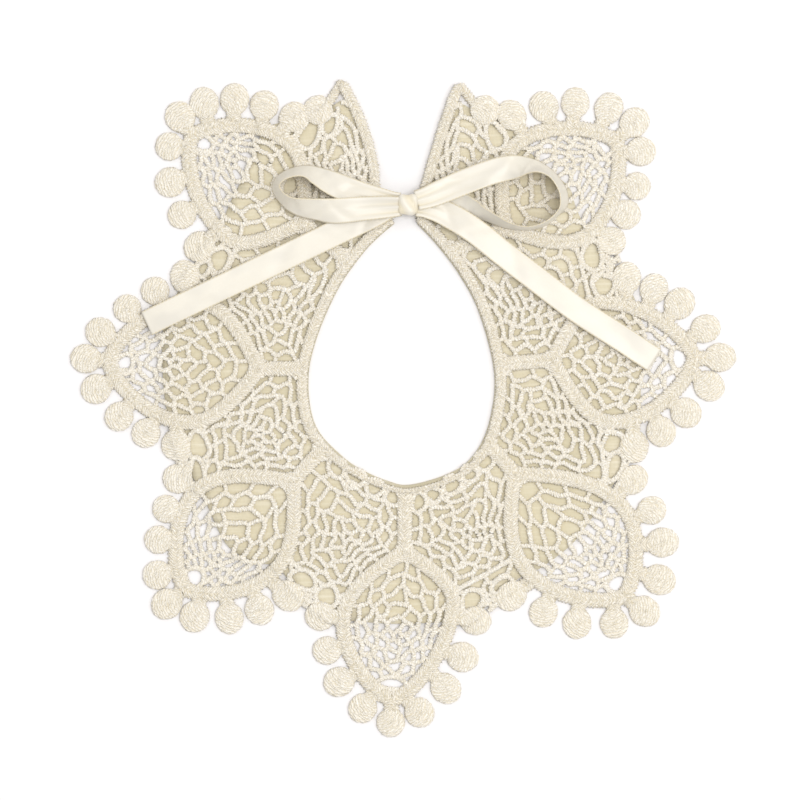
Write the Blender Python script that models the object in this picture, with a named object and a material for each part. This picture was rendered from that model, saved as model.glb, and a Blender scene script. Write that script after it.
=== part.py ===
# Lace baby bib laid flat: a guipure lace collar over a plain cotton lining,
# closed at the back of the neck by two satin ribbons tied in a bow.
# X is to the wearer's side, Y towards the back opening, Z up from the table.
# The plan tables are in millimetres; MM turns them into metres.

import math

import bmesh
import bpy
import numpy as np
from mathutils import Vector
from mathutils.geometry import delaunay_2d_cdt

MM = 0.001

# Driving sizes in millimetres
LINING_THICKNESS = 1.0
SEAM_GAP = 0.3
NET_THICKNESS = 1.5
BAND_THICKNESS = 2.4
RIM_THICKNESS = 1.4
BAND_WIDTH = 5.0
NECK_BAND_WIDTH = 4.2
CORD_WIDTH = 1.8
PICOT_RADIUS = 5.9
PICOT_MARGIN = 0.8
RIBBON_WIDTH = 10.2
RIBBON_THICKNESS = 1.0
NARROWEST_GAP = 2.3
LACE_SEAT = LINING_THICKNESS + SEAM_GAP
STEP_START = 0.6  # past the lining's edge the lace comes down to the table,
STEP_END = 3.6  # between these two distances from it
NECK_SHOW_SIDES = 0.4  # how much lining shows inside the lace at the neck
NECK_SHOW_FRONT = 2.0
BACK_EDGE_INSET = 0.9
NOTCH_DEPTH = 0.8
NOTCH_ANGLE = 0.05
PICOT_GAP_WIDTH = 4.4
LEAST_PICOT_GAP = 2.3

LEAST_CORD = 0.7  # of lace left between two gaps
PLAN_CENTRE = (0.4554, -0.106)  # middle of the whole piece in the plan's millimetres
RIDGE_INSET = 2.2  # of the edge bands' crowns from the lace's edge
BEYOND = ((24.0, 140.0), (-25.0, 140.0))  # closes the lined region past the back opening

# Segments of the curves
SIDE_STEPS = 6
NECK_STEPS = 3
END_STEPS = 2
PICOT_STEPS = 5
NET_ANGLES = 72
NET_REACH = 45.0
LINING_STEPS = 3
RIBBON_STEPS = 3
SHARP_ANGLE = math.radians(35)
MERGE_DISTANCE = 0.05

# The seven petals, round the collar from the left of the back opening.
# base: end of the petal nearest the neck; start and end: its widest points;
# neck: where the band from the base meets the neck edge; rim: every second
# one of the nine round picots on the petal's edge.
PETAL_COLUMNS = ("name", "base", "start", "tip", "end", "neck", "rim")
PETAL_ROWS = (
    ("top_left", (-39.5, 74.0), (-46.0, 108.0), (-87.0, 111.5), (-70.5, 67.0), (-22.0, 57.0),
     ((-43.0, 116.5), (-67.0, 124.0), (-89.0, 116.5), (-93.0, 90.0), (-81.5, 64.0))),
    ("left", (-57.0, 15.5), (-81.0, 43.0), (-120.5, 18.5), (-86.0, -6.0), (-37.5, 15.0),
     ((-87.0, 53.0), (-110.0, 39.5), (-127.0, 19.5), (-113.5, -4.0), (-90.5, -15.5))),
    ("lower_left", (-43.5, -29.5), (-85.0, -33.0), (-89.5, -74.0), (-51.0, -66.5), (-31.0, -15.0),
     ((-90.0, -28.5), (-97.5, -53.0), (-94.5, -79.0), (-69.0, -85.0), (-45.0, -76.0))),
    ("bottom", (1.0, -57.5), (-23.5, -84.0), (-4.0, -117.0), (20.5, -78.5), (1.0, -30.5),
     ((-33.0, -83.5), (-25.5, -110.0), (-4.5, -126.5), (18.0, -113.0), (30.0, -85.5))),
    ("lower_right", (45.0, -26.5), (49.0, -67.5), (91.0, -78.0), (89.0, -39.5), (35.0, -13.0),
     ((43.0, -76.0), (70.0, -87.0), (97.5, -82.0), (105.0, -54.0), (93.0, -28.5))),
    ("right", (60.0, 19.0), (84.0, -6.5), (113.0, 18.5), (80.0, 42.5), (37.0, 18.0),
     ((93.0, -16.5), (114.0, -2.5), (128.0, 20.0), (111.5, 42.0), (90.0, 52.5))),
    ("top_right", (41.0, 71.5), (74.5, 68.5), (87.0, 111.0), (45.0, 107.5), (18.0, 61.0),
     ((84.0, 66.5), (94.0, 88.5), (93.5, 114.5), (69.5, 122.5), (43.5, 117.5))),
)
PETALS = [dict(zip(PETAL_COLUMNS, row)) for row in PETAL_ROWS]

# The egg-shaped neck edge, from the left corner of the back opening down and round to the right
NECK_EDGE = (
    (-3.0, 73.5), (-9.5, 68.0), (-16.5, 60.5), (-26.0, 46.5), (-34.5, 26.5), (-37.5, 10.0),
    (-34.5, -7.5), (-24.0, -19.5), (-15.0, -25.5), (-5.5, -29.5), (3.0, -31.0), (17.5, -27.0),
    (27.5, -20.5), (34.5, -7.5), (37.0, 13.0), (31.0, 37.5), (23.0, 53.0), (14.0, 65.0), (6.0, 73.5),
)
# The two edges of the back opening, from the neck corner up to the pointed end and over it
LEFT_END = (
    (-3.0, 73.5), (-5.5, 80.0), (-8.5, 87.0), (-9.5, 97.5), (-12.5, 109.5), (-17.8, 122.5),
    (-23.7, 131.9), (-27.8, 124.1),
)
RIGHT_END = (
    (6.0, 73.5), (5.5, 80.0), (6.6, 85.7), (12.4, 105.7), (16.2, 117.3), (19.2, 125.7),
    (22.8, 130.5), (26.8, 124.5),
)
LEFT_END_PICOT = (-33.6, 118.9)
RIGHT_END_PICOT = (33.2, 118.9)

# The lining's outer edge: a point in the valley before each petal, then its way across the petal
LINING_ROWS = (
    ("top_left", ((-25.0, 122.5), (-33.0, 117.5), (-43.0, 115.0), (-54.8, 112.0), (-57.6, 106.0),
                  (-63.6, 92.1), (-68.4, 82.5), (-75.6, 66.5))),
    ("left", ((-81.5, 58.0), (-91.5, 43.0), (-95.6, 30.9), (-95.6, 10.9), (-93.0, -6.5))),
    ("lower_left", ((-87.0, -22.0), (-79.6, -35.5), (-72.8, -50.7), (-68.0, -57.1), (-58.8, -61.9),
                    (-49.6, -64.5))),
    ("bottom", ((-38.5, -77.0), (-28.8, -84.0), (-14.8, -85.9), (-0.8, -86.7), (15.2, -85.9),
                (26.2, -84.0))),
    ("lower_right", ((36.0, -78.0), (46.4, -68.7), (53.6, -65.5), (66.4, -56.3), (73.2, -48.3),
                     (80.4, -37.5))),
    ("right", ((89.5, -22.5), (95.0, -8.0), (95.6, 6.9), (96.4, 24.9), (94.0, 41.5))),
    ("top_right", ((83.8, 58.5), (76.4, 66.9), (70.0, 78.9), (66.8, 88.1), (56.4, 96.9),
                   (48.4, 105.3), (41.2, 114.0), (33.2, 116.8), (24.0, 121.5))),
)

# The net inside each panel: the centre its cords run round, how many rounds,
# the space between its cross cords, and the share of a space they start at
NET_COLUMNS = ("x", "y", "rounds", "spacing", "phase")
PETAL_NETS = (
    (-67, 97, 4, 6.4, 0.0), (-94, 23, 4, 6.4, 0.4), (-72, -59, 4, 6.4, 0.2), (-2, -97, 4, 6.4, 0.0),
    (75, -57, 4, 6.4, 0.3), (91, 19, 4, 6.4, 0.1), (66, 95, 4, 6.4, 0.5),
)
# Between two petals, and beside the back opening, the net runs round this centre by the neck
CELL_NETS = (
    (-24, 92, 2, 7.0, 0.0), (-50, 41, 3, 6.2, 0.2), (-55, -10, 3, 6.2, 0.4), (-25, -48, 3, 6.2, 0.1),
    (24, -47, 3, 6.2, 0.3), (57, -7, 3, 6.2, 0.2), (50, 42, 3, 6.2, 0.0), (23, 92, 2, 7.0, 0.4),
)
VALLEY_ROUNDS = 2  # of the small net beyond it, in the valley between the picots
VALLEY_SPACING = 5.0
WAIST = 5  # the point of a petal's side, counted from its base, where the two nets meet
MOST_PETAL_GAPS = 18  # the largest spaces of each net are cut through
MOST_CELL_GAPS = 13
MOST_VALLEY_GAPS = 2

# The ribbon's stretches, from the knot outwards and back: the middle of the
# ribbon in plan, its height, the lean of its left-hand edge upwards in degrees, its width
RIBBON_COLUMNS = ("x", "y", "z", "lean", "width")
LEFT_TAIL = (
    (-1.9, 80.5, 4.5, 0, 8.4), (-5.5, 79.7, 4.5, 0, 9.0), (-11.0, 77.0, 4.5, 0, 10.0),
    (-25.0, 70.4, 4.5, 0, 10.2), (-55.0, 56.0, 4.5, 0, 10.2), (-80.0, 44.0, 4.5, 0, 10.2),
    (-92.0, 38.3, 4.5, 0, 10.2), (-97.0, 35.9, 4.3, 0, 10.2), (-102.0, 33.5, 3.9, 0, 10.2),
)
LEFT_LOOP = (
    (-1.9, 81.7, 5.8, 0, 8.0), (-6.0, 82.3, 5.8, 0, 8.8), (-18.4, 85.7, 5.8, 2, 10.0),
    (-24.8, 88.1, 6.1, 12, 10.2), (-29.6, 90.1, 6.7, 25, 10.2), (-38.8, 93.9, 8.8, 61, 10.2),
    (-46.6, 92.3, 9.2, 70, 10.2), (-50.2, 87.8, 9.2, 73, 10.2), (-46.4, 82.3, 9.2, 68, 10.2),
    (-40.4, 79.9, 8.2, 47, 10.2), (-33.6, 78.9, 7.4, 34, 10.2), (-26.4, 78.3, 7.5, 16, 10.2),
    (-14.8, 79.3, 7.1, 0, 9.6), (-6.0, 79.9, 7.1, 0, 8.8), (-1.9, 80.1, 7.1, 0, 8.0),
)
RIGHT_LOOP = (
    (6.7, 82.7, 7.1, 0, 8.0), (10.0, 83.7, 7.1, 0, 8.8), (14.0, 85.3, 7.1, 0, 9.6),
    (22.8, 89.0, 7.3, -5, 10.2), (33.2, 93.0, 7.3, -7, 10.2), (42.2, 95.4, 6.9, -10, 10.2),
    (52.4, 95.9, 8.7, -56, 10.2), (59.2, 92.9, 9.2, -71, 10.2), (63.6, 86.9, 9.2, -71, 10.2),
    (64.4, 81.5, 9.2, -72, 10.2), (62.0, 77.3, 9.3, -83, 10.2), (56.8, 73.1, 9.3, -83, 10.2),
    (49.6, 71.3, 9.3, -84, 10.2), (42.4, 72.3, 9.2, -78, 10.2), (37.2, 76.0, 8.7, -60, 10.2),
    (32.0, 80.2, 6.6, -30, 10.2), (27.0, 80.9, 4.8, -6, 10.2), (23.5, 80.8, 4.5, 0, 10.2),
    (17.2, 80.7, 4.5, 0, 10.0),
    (10.4, 80.7, 4.5, 0, 8.8), (6.7, 80.7, 4.5, 0, 8.0),
)
RIGHT_TAIL = (
    (6.7, 80.1, 5.8, 0, 8.0), (10.4, 79.7, 5.8, 0, 8.8), (17.2, 77.5, 5.8, 0, 10.0),
    (28.4, 70.8, 5.9, 0, 10.2), (40.8, 61.1, 4.6, 0, 10.2), (53.6, 51.3, 4.5, 0, 10.2),
    (70.0, 38.9, 4.5, 0, 10.2), (88.0, 27.3, 4.5, 0, 10.2), (95.0, 22.6, 4.4, 0, 10.2),
    (100.8, 18.9, 3.9, 0, 10.2),
)

# The knot's rounded block and the soft folds round it
KNOT_CENTRE = (2.4, 80.9, 6.1)
KNOT_SIZE = (8.0, 8.8, 5.4)
KNOT_ROUNDING = 0.55
KNOT_FOLDS = 3
KNOT_FOLD_DEPTH = 0.05
KNOT_RINGS = 12
KNOT_SEGMENTS = 24

# Linear colours
LACE_COLOUR = (0.86, 0.81, 0.70)
LINING_COLOUR = (0.70, 0.66, 0.48)
RIBBON_COLOUR = (0.93, 0.88, 0.77)


def curve_through(points, steps):
    """Points along a smooth curve that passes through each of the given ones."""
    given = np.array(points, float)
    made = []
    for i in range(len(given) - 1):
        b = given[i]
        c = given[i + 1]
        a = given[i - 1] if i > 0 else 2 * b - c
        d = given[i + 2] if i + 2 < len(given) else 2 * c - b
        for step in range(steps):
            t = step / steps
            bend = (2 * a - 5 * b + 4 * c - d) * t * t + (3 * b - a - 3 * c + d) * t ** 3
            made.append(0.5 * (2 * b + (c - a) * t + bend))
    made.append(given[-1])
    return np.array(made)


def bezier(a, b, c, d, steps):
    """Points along one cubic curve from a to d."""
    t = np.linspace(0, 1, steps + 1)[:, None]
    return (1 - t) ** 3 * a + 3 * (1 - t) ** 2 * t * b + 3 * (1 - t) * t * t * c + t ** 3 * d


def petal_side(petal, side):
    """One side of a petal's band, from its base over its widest point to its tip."""
    base = np.array(petal["base"])
    tip = np.array(petal["tip"])
    widest = np.array(petal[side])
    length = np.linalg.norm(tip - base)
    axis = (tip - base) / length
    along = (widest - base) @ axis
    out = (widest - base) - along * axis
    leaving = base + 0.35 * out + 0.22 * along * axis
    arriving = base + out + 0.55 * along * axis
    lower = bezier(base, leaving, arriving, widest, SIDE_STEPS)
    leaving = widest + 0.5 * (length - along) * axis
    arriving = tip - 0.03 * length * axis + 0.42 * out
    upper = bezier(widest, leaving, arriving, tip, SIDE_STEPS)
    return np.vstack([lower, upper[1:]])


def petal_loop(petal):
    """The closed middle line of a petal's band."""
    there = petal_side(petal, "start")
    back = petal_side(petal, "end")[::-1]
    return np.vstack([there, back[1:]])


def petal_picots(petal):
    """The nine picots on a petal's edge."""
    return curve_through(petal["rim"], 2)


def picot_chain():
    """All picots, from the left of the back opening round to the right of it."""
    chain = [np.array(LEFT_END_PICOT)]
    for petal in PETALS:
        chain.extend(petal_picots(petal))
    chain.append(np.array(RIGHT_END_PICOT))
    return chain


def neck_curve():
    return curve_through(NECK_EDGE, NECK_STEPS)


def lace_neck_curve():
    """The lace stops just short of the lining at the neck, most of all at the front."""
    curve = neck_curve()
    travel = np.gradient(curve, axis=0)
    travel /= np.linalg.norm(travel, axis=1)[:, None]
    outward = np.stack([travel[:, 1], -travel[:, 0]], axis=1)
    height = (curve[:, 1] - curve[:, 1].min()) / np.ptp(curve[:, 1])
    share = np.clip(1.0 - height * 2.5, 0.0, 1.0)
    amount = NECK_SHOW_SIDES + (NECK_SHOW_FRONT - NECK_SHOW_SIDES) * share
    amount[0] = 0.0
    amount[-1] = 0.0
    return curve + outward * amount[:, None]


def radial_band(petal):
    """The short band from the neck edge to a petal's base."""
    neck = neck_curve()
    nearest = int(np.argmin(np.linalg.norm(neck - np.array(petal["neck"]), axis=1)))
    return nearest, np.array([neck[nearest], petal["base"]])


def lace_outline():
    """Round the whole lace collar, counterclockwise, with a bump at each picot."""
    chain = picot_chain()
    left = curve_through(LEFT_END, END_STEPS)
    right = curve_through(RIGHT_END, END_STEPS)
    points = list(left)
    around = [left[-1]] + chain + [right[-1]]
    for before, centre, after in zip(around, around[1:], around[2:]):
        start = math.atan2(*(before - centre)[::-1])
        sweep = (math.atan2(*(after - centre)[::-1]) - start) % (2 * math.pi)
        overlap_before = bite(before, centre, before is around[0])
        overlap_after = bite(after, centre, after is around[-1])
        for step in range(PICOT_STEPS + 1):
            angle = start + overlap_before + (sweep - overlap_before - overlap_after) * step / PICOT_STEPS
            points.append(centre + PICOT_RADIUS * np.array([math.cos(angle), math.sin(angle)]))
        if after is not around[-1]:
            points.append(notch(centre, after))
    points.extend(right[::-1])
    points.extend(lace_neck_curve()[::-1][1:-1])
    return points


def bite(other, centre, is_end):
    """The angle that a touching neighbour takes from a picot's circle."""
    half = np.linalg.norm(other - centre) / 2
    if is_end or half >= PICOT_RADIUS:
        return NOTCH_ANGLE
    return math.acos(half / PICOT_RADIUS) + NOTCH_ANGLE


def notch(centre, after):
    """The corner between two picots, on their outer side."""
    middle = (centre + after) / 2
    half = np.linalg.norm(after - centre) / 2
    step = (after - centre) / (2 * half)
    outward = np.array([step[1], -step[0]])
    touch = math.sqrt(max(PICOT_RADIUS ** 2 - half ** 2, 0.0))
    return middle + outward * (touch - NOTCH_DEPTH)


def walls_of(lines):
    """Pairs of end points and the clear distance kept from each, from (line, distance) pairs."""
    starts = np.vstack([np.array(line)[:-1] for line, _ in lines])
    ends = np.vstack([np.array(line)[1:] for line, _ in lines])
    clear = np.concatenate([np.full(len(line) - 1, distance) for line, distance in lines])
    return starts, ends, clear


def room(points, walls):
    """How far each point is from the nearest wall's clear edge."""
    starts, ends, clear = walls
    run = ends - starts
    length = np.maximum((run ** 2).sum(axis=1), 1e-9)
    offset = points[:, None, :] - starts[None, :, :]
    share = np.clip((offset * run).sum(axis=2) / length, 0.0, 1.0)
    nearest = starts + share[:, :, None] * run
    return (np.linalg.norm(points[:, None, :] - nearest, axis=2) - clear).min(axis=1)


def picot_walls(centres):
    return [(np.array([centre, centre]), PICOT_RADIUS + PICOT_MARGIN) for centre in centres]


def petal_walls(petal):
    return walls_of([(petal_loop(petal), BAND_WIDTH / 2)])


def cell_walls(index):
    """The walls of the neck and valley parts of the net beside two petals, and the valley's centre."""
    neck = neck_curve()
    half_band = BAND_WIDTH / 2
    near = []
    far = []
    waist = []
    rim = []
    cut = [0, len(neck) - 1]
    sides = ((index - 1, "end", LEFT_END, LEFT_END_PICOT, 0), (index, "start", RIGHT_END, RIGHT_END_PICOT, 1))
    for number, side, end_edge, end_picot, place in sides:
        if 0 <= number < len(PETALS):
            petal = PETALS[number]
            cut[place], radial = radial_band(petal)
            line = petal_side(petal, side)
            near.append((radial, half_band))
            near.append((line[:WAIST + 1], half_band))
            far.append((line[WAIST - 1:], half_band))
            waist.append(line[WAIST])
            picots = petal_picots(petal)
            pair = list(picots[-2:] if place == 0 else picots[:2])
            rim.extend(pair)
            far.extend(picot_walls(pair))
        else:
            line = curve_through(end_edge, END_STEPS)
            near.append((line, BAND_WIDTH - 0.6))
            far.append((line, BAND_WIDTH - 0.6))
            other = PETALS[0] if place == 0 else PETALS[-1]
            opposite = petal_side(other, "start" if place == 0 else "end")[WAIST]
            waist.append(line[int(np.argmin(np.linalg.norm(line - opposite, axis=1)))])
            far.extend(picot_walls([np.array(end_picot)]))
            ends = [line[-1], np.array(end_picot)]
            rim.extend(ends if place == 0 else ends[::-1])
    waist_line = (np.array(waist), CORD_WIDTH / 2)
    near.append((neck[cut[0]:cut[1] + 1], NECK_BAND_WIDTH + 0.8))
    near.append(waist_line)
    far.append(waist_line)
    far.append((np.array(rim), CORD_WIDTH))
    return walls_of(near), walls_of(far), (np.mean(waist, axis=0) + np.mean(rim, axis=0)) / 2


def net_gaps(row, walls):
    """The spaces between the cords of one net: rounds about a centre, joined by cross cords."""
    net = dict(zip(NET_COLUMNS, row))
    centre = np.array([net["x"], net["y"]], float)
    angles = np.linspace(0, 2 * math.pi, NET_ANGLES, endpoint=False)
    directions = np.stack([np.cos(angles), np.sin(angles)], axis=1)
    radii = np.full(NET_ANGLES, 0.5)
    for _ in range(40):
        radii += 0.95 * np.maximum(room(centre + radii[:, None] * directions, walls), 0.0)
        radii = np.minimum(radii, NET_REACH)
    radii = np.minimum(radii, (np.roll(radii, 1) + 2 * radii + np.roll(radii, -1)) / 4)
    turns = np.concatenate([[0.0], np.cumsum(radii ** 0.6)])
    turns /= turns[-1]
    closed_angles = np.append(angles, 2 * math.pi)
    closed_radii = np.append(radii, radii[0])

    def at(turn, share):
        angle = np.interp(turn % 1.0, turns, closed_angles)
        radius = share * np.interp(angle, closed_angles, closed_radii)
        return centre + radius * np.array([math.cos(angle), math.sin(angle)])

    rounds = net["rounds"]
    shares = [(k + 0.55) / (rounds + 0.55) for k in range(rounds + 1)]
    gaps = []
    for k in range(1, rounds + 1):
        inner = shares[k - 1]
        outer = shares[k]
        length = 2 * math.pi * radii.mean() * (inner + outer) / 2
        count = max(5, round(length / net["spacing"]))
        for j in range(count):
            first = (j + net["phase"] + 0.5 * k) / count
            last = first + 1 / count
            lean = 0.012 * math.sin(3 * k + 1.7 * j)
            outline = [at(first, inner), at(first + lean, outer), at((first + last) / 2, outer)]
            outline += [at(last + lean, outer), at(last, inner)]
            gaps.append(shrunk(outline, CORD_WIDTH / 2))
    return gaps


def signed_area(outline):
    after = np.roll(outline, -1, axis=0)
    return 0.5 * float((outline[:, 0] * after[:, 1] - after[:, 0] * outline[:, 1]).sum())


def shrunk(outline, distance):
    """A small convex outline with every side moved in."""
    points = np.array(outline)
    run = np.roll(points, -1, axis=0) - points
    run /= np.maximum(np.linalg.norm(run, axis=1), 1e-9)[:, None]
    inward = np.stack([-run[:, 1], run[:, 0]], axis=1)
    both = inward + np.roll(inward, 1, axis=0)
    scale = 2 * distance / np.maximum((both ** 2).sum(axis=1), 0.8)
    return points + both * scale[:, None]


def narrowest(outline):
    """The least width of a convex outline, measured square to its sides."""
    widths = []
    for i in range(len(outline)):
        run = outline[(i + 1) % len(outline)] - outline[i]
        length = np.linalg.norm(run)
        if length > 0.2:
            across = (outline - outline[i]) @ np.array([-run[1], run[0]]) / length
            widths.append(across.max() - max(across.min(), 0.0))
            if across.min() < -0.3:
                return 0.0
    return min(widths) if widths else 0.0


def largest(gaps, most):
    kept = [gap for gap in gaps if signed_area(gap) > 0 and narrowest(gap) > NARROWEST_GAP]
    kept.sort(key=signed_area, reverse=True)
    return kept[:most]


def all_net_gaps():
    """The largest spaces of each net."""
    gaps = []
    for petal, row in zip(PETALS, PETAL_NETS):
        gaps.extend(largest(net_gaps(row, petal_walls(petal)), MOST_PETAL_GAPS))
    for index, row in enumerate(CELL_NETS):
        near, far, valley = cell_walls(index)
        gaps.extend(largest(net_gaps(row, near), MOST_CELL_GAPS))
        small = net_gaps((*valley, VALLEY_ROUNDS, VALLEY_SPACING, 0.0), far)
        gaps.extend(largest(small, MOST_VALLEY_GAPS))
    return well_apart(gaps)


def closed(outline):
    return np.vstack([outline, outline[:1]])


def well_apart(gaps):
    """Leaves out each gap that comes too near to one before it."""
    kept = [gaps[0]]
    for gap in gaps[1:]:
        walls = walls_of([(closed(other), LEAST_CORD) for other in kept])
        spots = np.vstack([gap, (gap + np.roll(gap, -1, axis=0)) / 2])
        if room(spots, walls).min() > 0:
            kept.append(gap)
    return kept


def picot_gaps():
    """The three-cornered spaces between two picots and the petal's band."""
    gaps = []
    for petal in PETALS:
        loop = petal_loop(petal)
        picots = petal_picots(petal)
        for one, two in zip(picots, picots[1:]):
            middle = (one + two) / 2
            inward = np.array([one[1] - two[1], two[0] - one[0]])
            inward /= np.linalg.norm(inward)
            distance = room(middle[None, :], walls_of([(loop, BAND_WIDTH / 2)]))[0]
            top = 1.6
            bottom = distance - 0.7
            if bottom - top < LEAST_PICOT_GAP:
                continue
            along = np.array([inward[1], -inward[0]])
            half = along * PICOT_GAP_WIDTH / 2
            bottom = min(bottom, top + PICOT_GAP_WIDTH)
            corners = [middle + inward * top, middle + inward * bottom + half, middle + inward * bottom - half]
            if signed_area(np.array(corners)) < 0:
                corners.reverse()
            gaps.append(np.array(corners))
    return gaps


def shifted(line, distance):
    """A line moved to its right-hand side."""
    travel = np.gradient(line, axis=0)
    travel /= np.linalg.norm(travel, axis=1)[:, None]
    return line + np.stack([travel[:, 1], -travel[:, 0]], axis=1) * distance


def lining_outer_curve():
    """The lining's outer edge, counterclockwise from the left of the back opening."""
    points = [point for _, row in LINING_ROWS for point in row]
    return curve_through(points, LINING_STEPS)


def lining_outline():
    """Round the lining: up the left back edge, round the outer edge, down the right one, and the neck."""
    left = shifted(curve_through(LEFT_END[:6], END_STEPS), -BACK_EDGE_INSET)
    right = shifted(curve_through(RIGHT_END[:6], END_STEPS), BACK_EDGE_INSET)
    return np.vstack([left[1:], lining_outer_curve(), right[::-1][:-1], neck_curve()[::-1][1:-1]])


def inside(points, outline):
    """Whether each point lies inside a closed outline."""
    after = np.roll(outline, -1, axis=0)
    x = points[:, 0][:, None]
    y = points[:, 1][:, None]
    spans = (outline[:, 1] > y) != (after[:, 1] > y)
    rise = np.where(after[:, 1] == outline[:, 1], 1e-9, after[:, 1] - outline[:, 1])
    crossing = outline[:, 0] + (y - outline[:, 1]) * (after[:, 0] - outline[:, 0]) / rise
    return (spans & (x < crossing)).sum(axis=1) % 2 == 1


def seat_height(points):
    """The lace's underside: over the lining inside its edge, down on the table beyond it."""
    edge = lining_outer_curve()
    lined = inside(points, np.vstack([edge, np.array(BEYOND)]))
    away = room(points, walls_of([(edge, 0.0)]))
    share = np.clip((STEP_END - away) / (STEP_END - STEP_START), 0.0, 1.0)
    return LACE_SEAT * np.where(lined, 1.0, share)


def band_crowns():
    """The middle lines of the raised bands of stitches."""
    crowns = [petal_loop(petal) for petal in PETALS]
    crowns.append(shifted(lace_neck_curve()[2:-2], RIDGE_INSET))
    crowns.append(shifted(curve_through(LEFT_END, END_STEPS)[2:-3], -RIDGE_INSET))
    crowns.append(shifted(curve_through(RIGHT_END, END_STEPS)[2:-3], RIDGE_INSET))
    for petal in PETALS:
        nearest, line = radial_band(petal)
        inner = shifted(neck_curve(), RIDGE_INSET + NECK_SHOW_SIDES)[nearest]
        crowns.append(np.array([inner, (inner + line[1]) / 2, line[1]]))
    return crowns


def thickness(points):
    """The lace's thickness: a thin net, with raised bands and domed picots."""
    picots = picot_chain()
    from_band = room(points, walls_of([(crown, 0.0) for crown in band_crowns()]))
    rise = np.clip(1.0 - from_band / (BAND_WIDTH / 2), 0.0, 1.0)
    banded = NET_THICKNESS + (BAND_THICKNESS - NET_THICKNESS) * rise
    from_picot = room(points, walls_of([(np.array([centre, centre]), 0.0) for centre in picots]))
    dome = np.clip(1.0 - from_picot / PICOT_RADIUS, 0.0, 1.0)
    domed = RIM_THICKNESS + (BAND_THICKNESS - RIM_THICKNESS) * dome
    return np.where(dome > 0.0, np.maximum(domed, banded - 0.1), banded)


def flat_triangles(outline, gaps, lines, spots):
    """Triangles over an outline, clear of its gaps, with edges along the lines."""
    points = [Vector(point) for point in outline]
    faces = [list(range(len(points)))]
    edges = []
    for gap in gaps:
        first = len(points)
        points.extend(Vector(point) for point in gap)
        faces.append(list(range(first, len(points))))
    for line in lines:
        first = len(points)
        points.extend(Vector(point) for point in line)
        edges.extend((i, i + 1) for i in range(first, len(points) - 1))
    points.extend(Vector(spot) for spot in spots)
    made, _, triangles, _, _, sources = delaunay_2d_cdt(points, edges, faces, 0, MERGE_DISTANCE)
    kept = [triangle for triangle, source in zip(triangles, sources) if set(source) == {0}]
    used = sorted({index for triangle in kept for index in triangle})
    renumbered = {index: place for place, index in enumerate(used)}
    flat = np.array([made[index] for index in used])
    return flat, [[renumbered[index] for index in triangle] for triangle in kept]


def walled(name, flat, triangles, low, high, material):
    """A closed sheet between two heights over the same triangles."""
    count = len(flat)
    points = [(x, y, z) for (x, y), z in zip(flat, low)]
    points += [(x, y, z) for (x, y), z in zip(flat, high)]
    faces = [(a, c, b) for a, b, c in triangles]
    faces += [(a + count, b + count, c + count) for a, b, c in triangles]
    sides = {(a, b) for triangle in triangles for a, b in zip(triangle, triangle[1:] + triangle[:1])}
    faces += [(a, b, b + count, a + count) for a, b in sides if (b, a) not in sides]
    return solid(name, points, faces, material)


def solid(name, points, faces, material):
    """An object from points in the plan's millimetres."""
    mesh = bpy.data.meshes.new(name)
    shift = np.array((*PLAN_CENTRE, 0.0))
    mesh.from_pydata([tuple((np.array(point) - shift) * MM) for point in points], [], faces)
    mesh.update()
    work = bmesh.new()
    work.from_mesh(mesh)
    bmesh.ops.remove_doubles(work, verts=work.verts, dist=MERGE_DISTANCE * MM)
    bmesh.ops.recalc_face_normals(work, faces=work.faces)
    for face in work.faces:
        face.smooth = True
    work.to_mesh(mesh)
    work.free()
    mesh.set_sharp_from_angle(angle=SHARP_ANGLE)
    mesh.materials.append(material)
    made = bpy.data.objects.new(name, mesh)
    bpy.context.scene.collection.objects.link(made)
    return made


def paint(name, colour, roughness, sheen):
    material = bpy.data.materials.new(name)
    material.use_nodes = True
    shader = material.node_tree.nodes["Principled BSDF"]
    shader.inputs["Base Color"].default_value = (*colour, 1.0)
    shader.inputs["Roughness"].default_value = roughness
    shader.inputs["Metallic"].default_value = 0.0
    shader.inputs["Sheen Weight"].default_value = sheen
    return material


def lace(material):
    """The lace collar, its largest gaps cut through."""
    gaps = all_net_gaps() + picot_gaps()
    edge = lining_outer_curve()
    steps = [shifted(edge, STEP_START), shifted(edge, STEP_END)]
    flat, triangles = flat_triangles(lace_outline(), gaps, band_crowns() + steps, picot_chain())
    low = seat_height(flat)
    return walled("lace", flat, triangles, low, low + thickness(flat), material)


def lining(material):
    flat, triangles = flat_triangles(lining_outline(), [], [], [])
    low = np.zeros(len(flat))
    return walled("lining", flat, triangles, low, low + LINING_THICKNESS, material)


def ribbon(name, rows, material):
    """A flat ribbon along its stations, leaning as it turns."""
    stations = curve_through(rows, RIBBON_STEPS)
    middle = stations[:, :3]
    travel = np.gradient(middle, axis=0)
    travel /= np.linalg.norm(travel, axis=1)[:, None]
    level = np.stack([-travel[:, 1], travel[:, 0], np.zeros(len(travel))], axis=1)
    level /= np.linalg.norm(level, axis=1)[:, None]
    lean = np.radians(stations[:, 3])[:, None]
    across = np.cos(lean) * level + np.sin(lean) * np.array([0.0, 0.0, 1.0])
    across -= (across * travel).sum(axis=1)[:, None] * travel
    across /= np.linalg.norm(across, axis=1)[:, None]
    above = np.cross(travel, across)
    half_width = stations[:, 4][:, None] / 2
    half_thick = RIBBON_THICKNESS / 2
    points = []
    for side, height in ((-1, -1), (1, -1), (1, 1), (-1, 1)):
        points.append(middle + side * half_width * across + height * half_thick * above)
    count = len(middle)
    faces = []
    for corner in range(4):
        here = corner * count
        following = (corner + 1) % 4 * count
        for i in range(count - 1):
            faces.append((here + i, following + i, following + i + 1, here + i + 1))
    faces.append(tuple(corner * count for corner in range(4)))
    faces.append(tuple(corner * count + count - 1 for corner in range(4)))
    return solid(name, np.vstack(points), faces, material)


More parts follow.
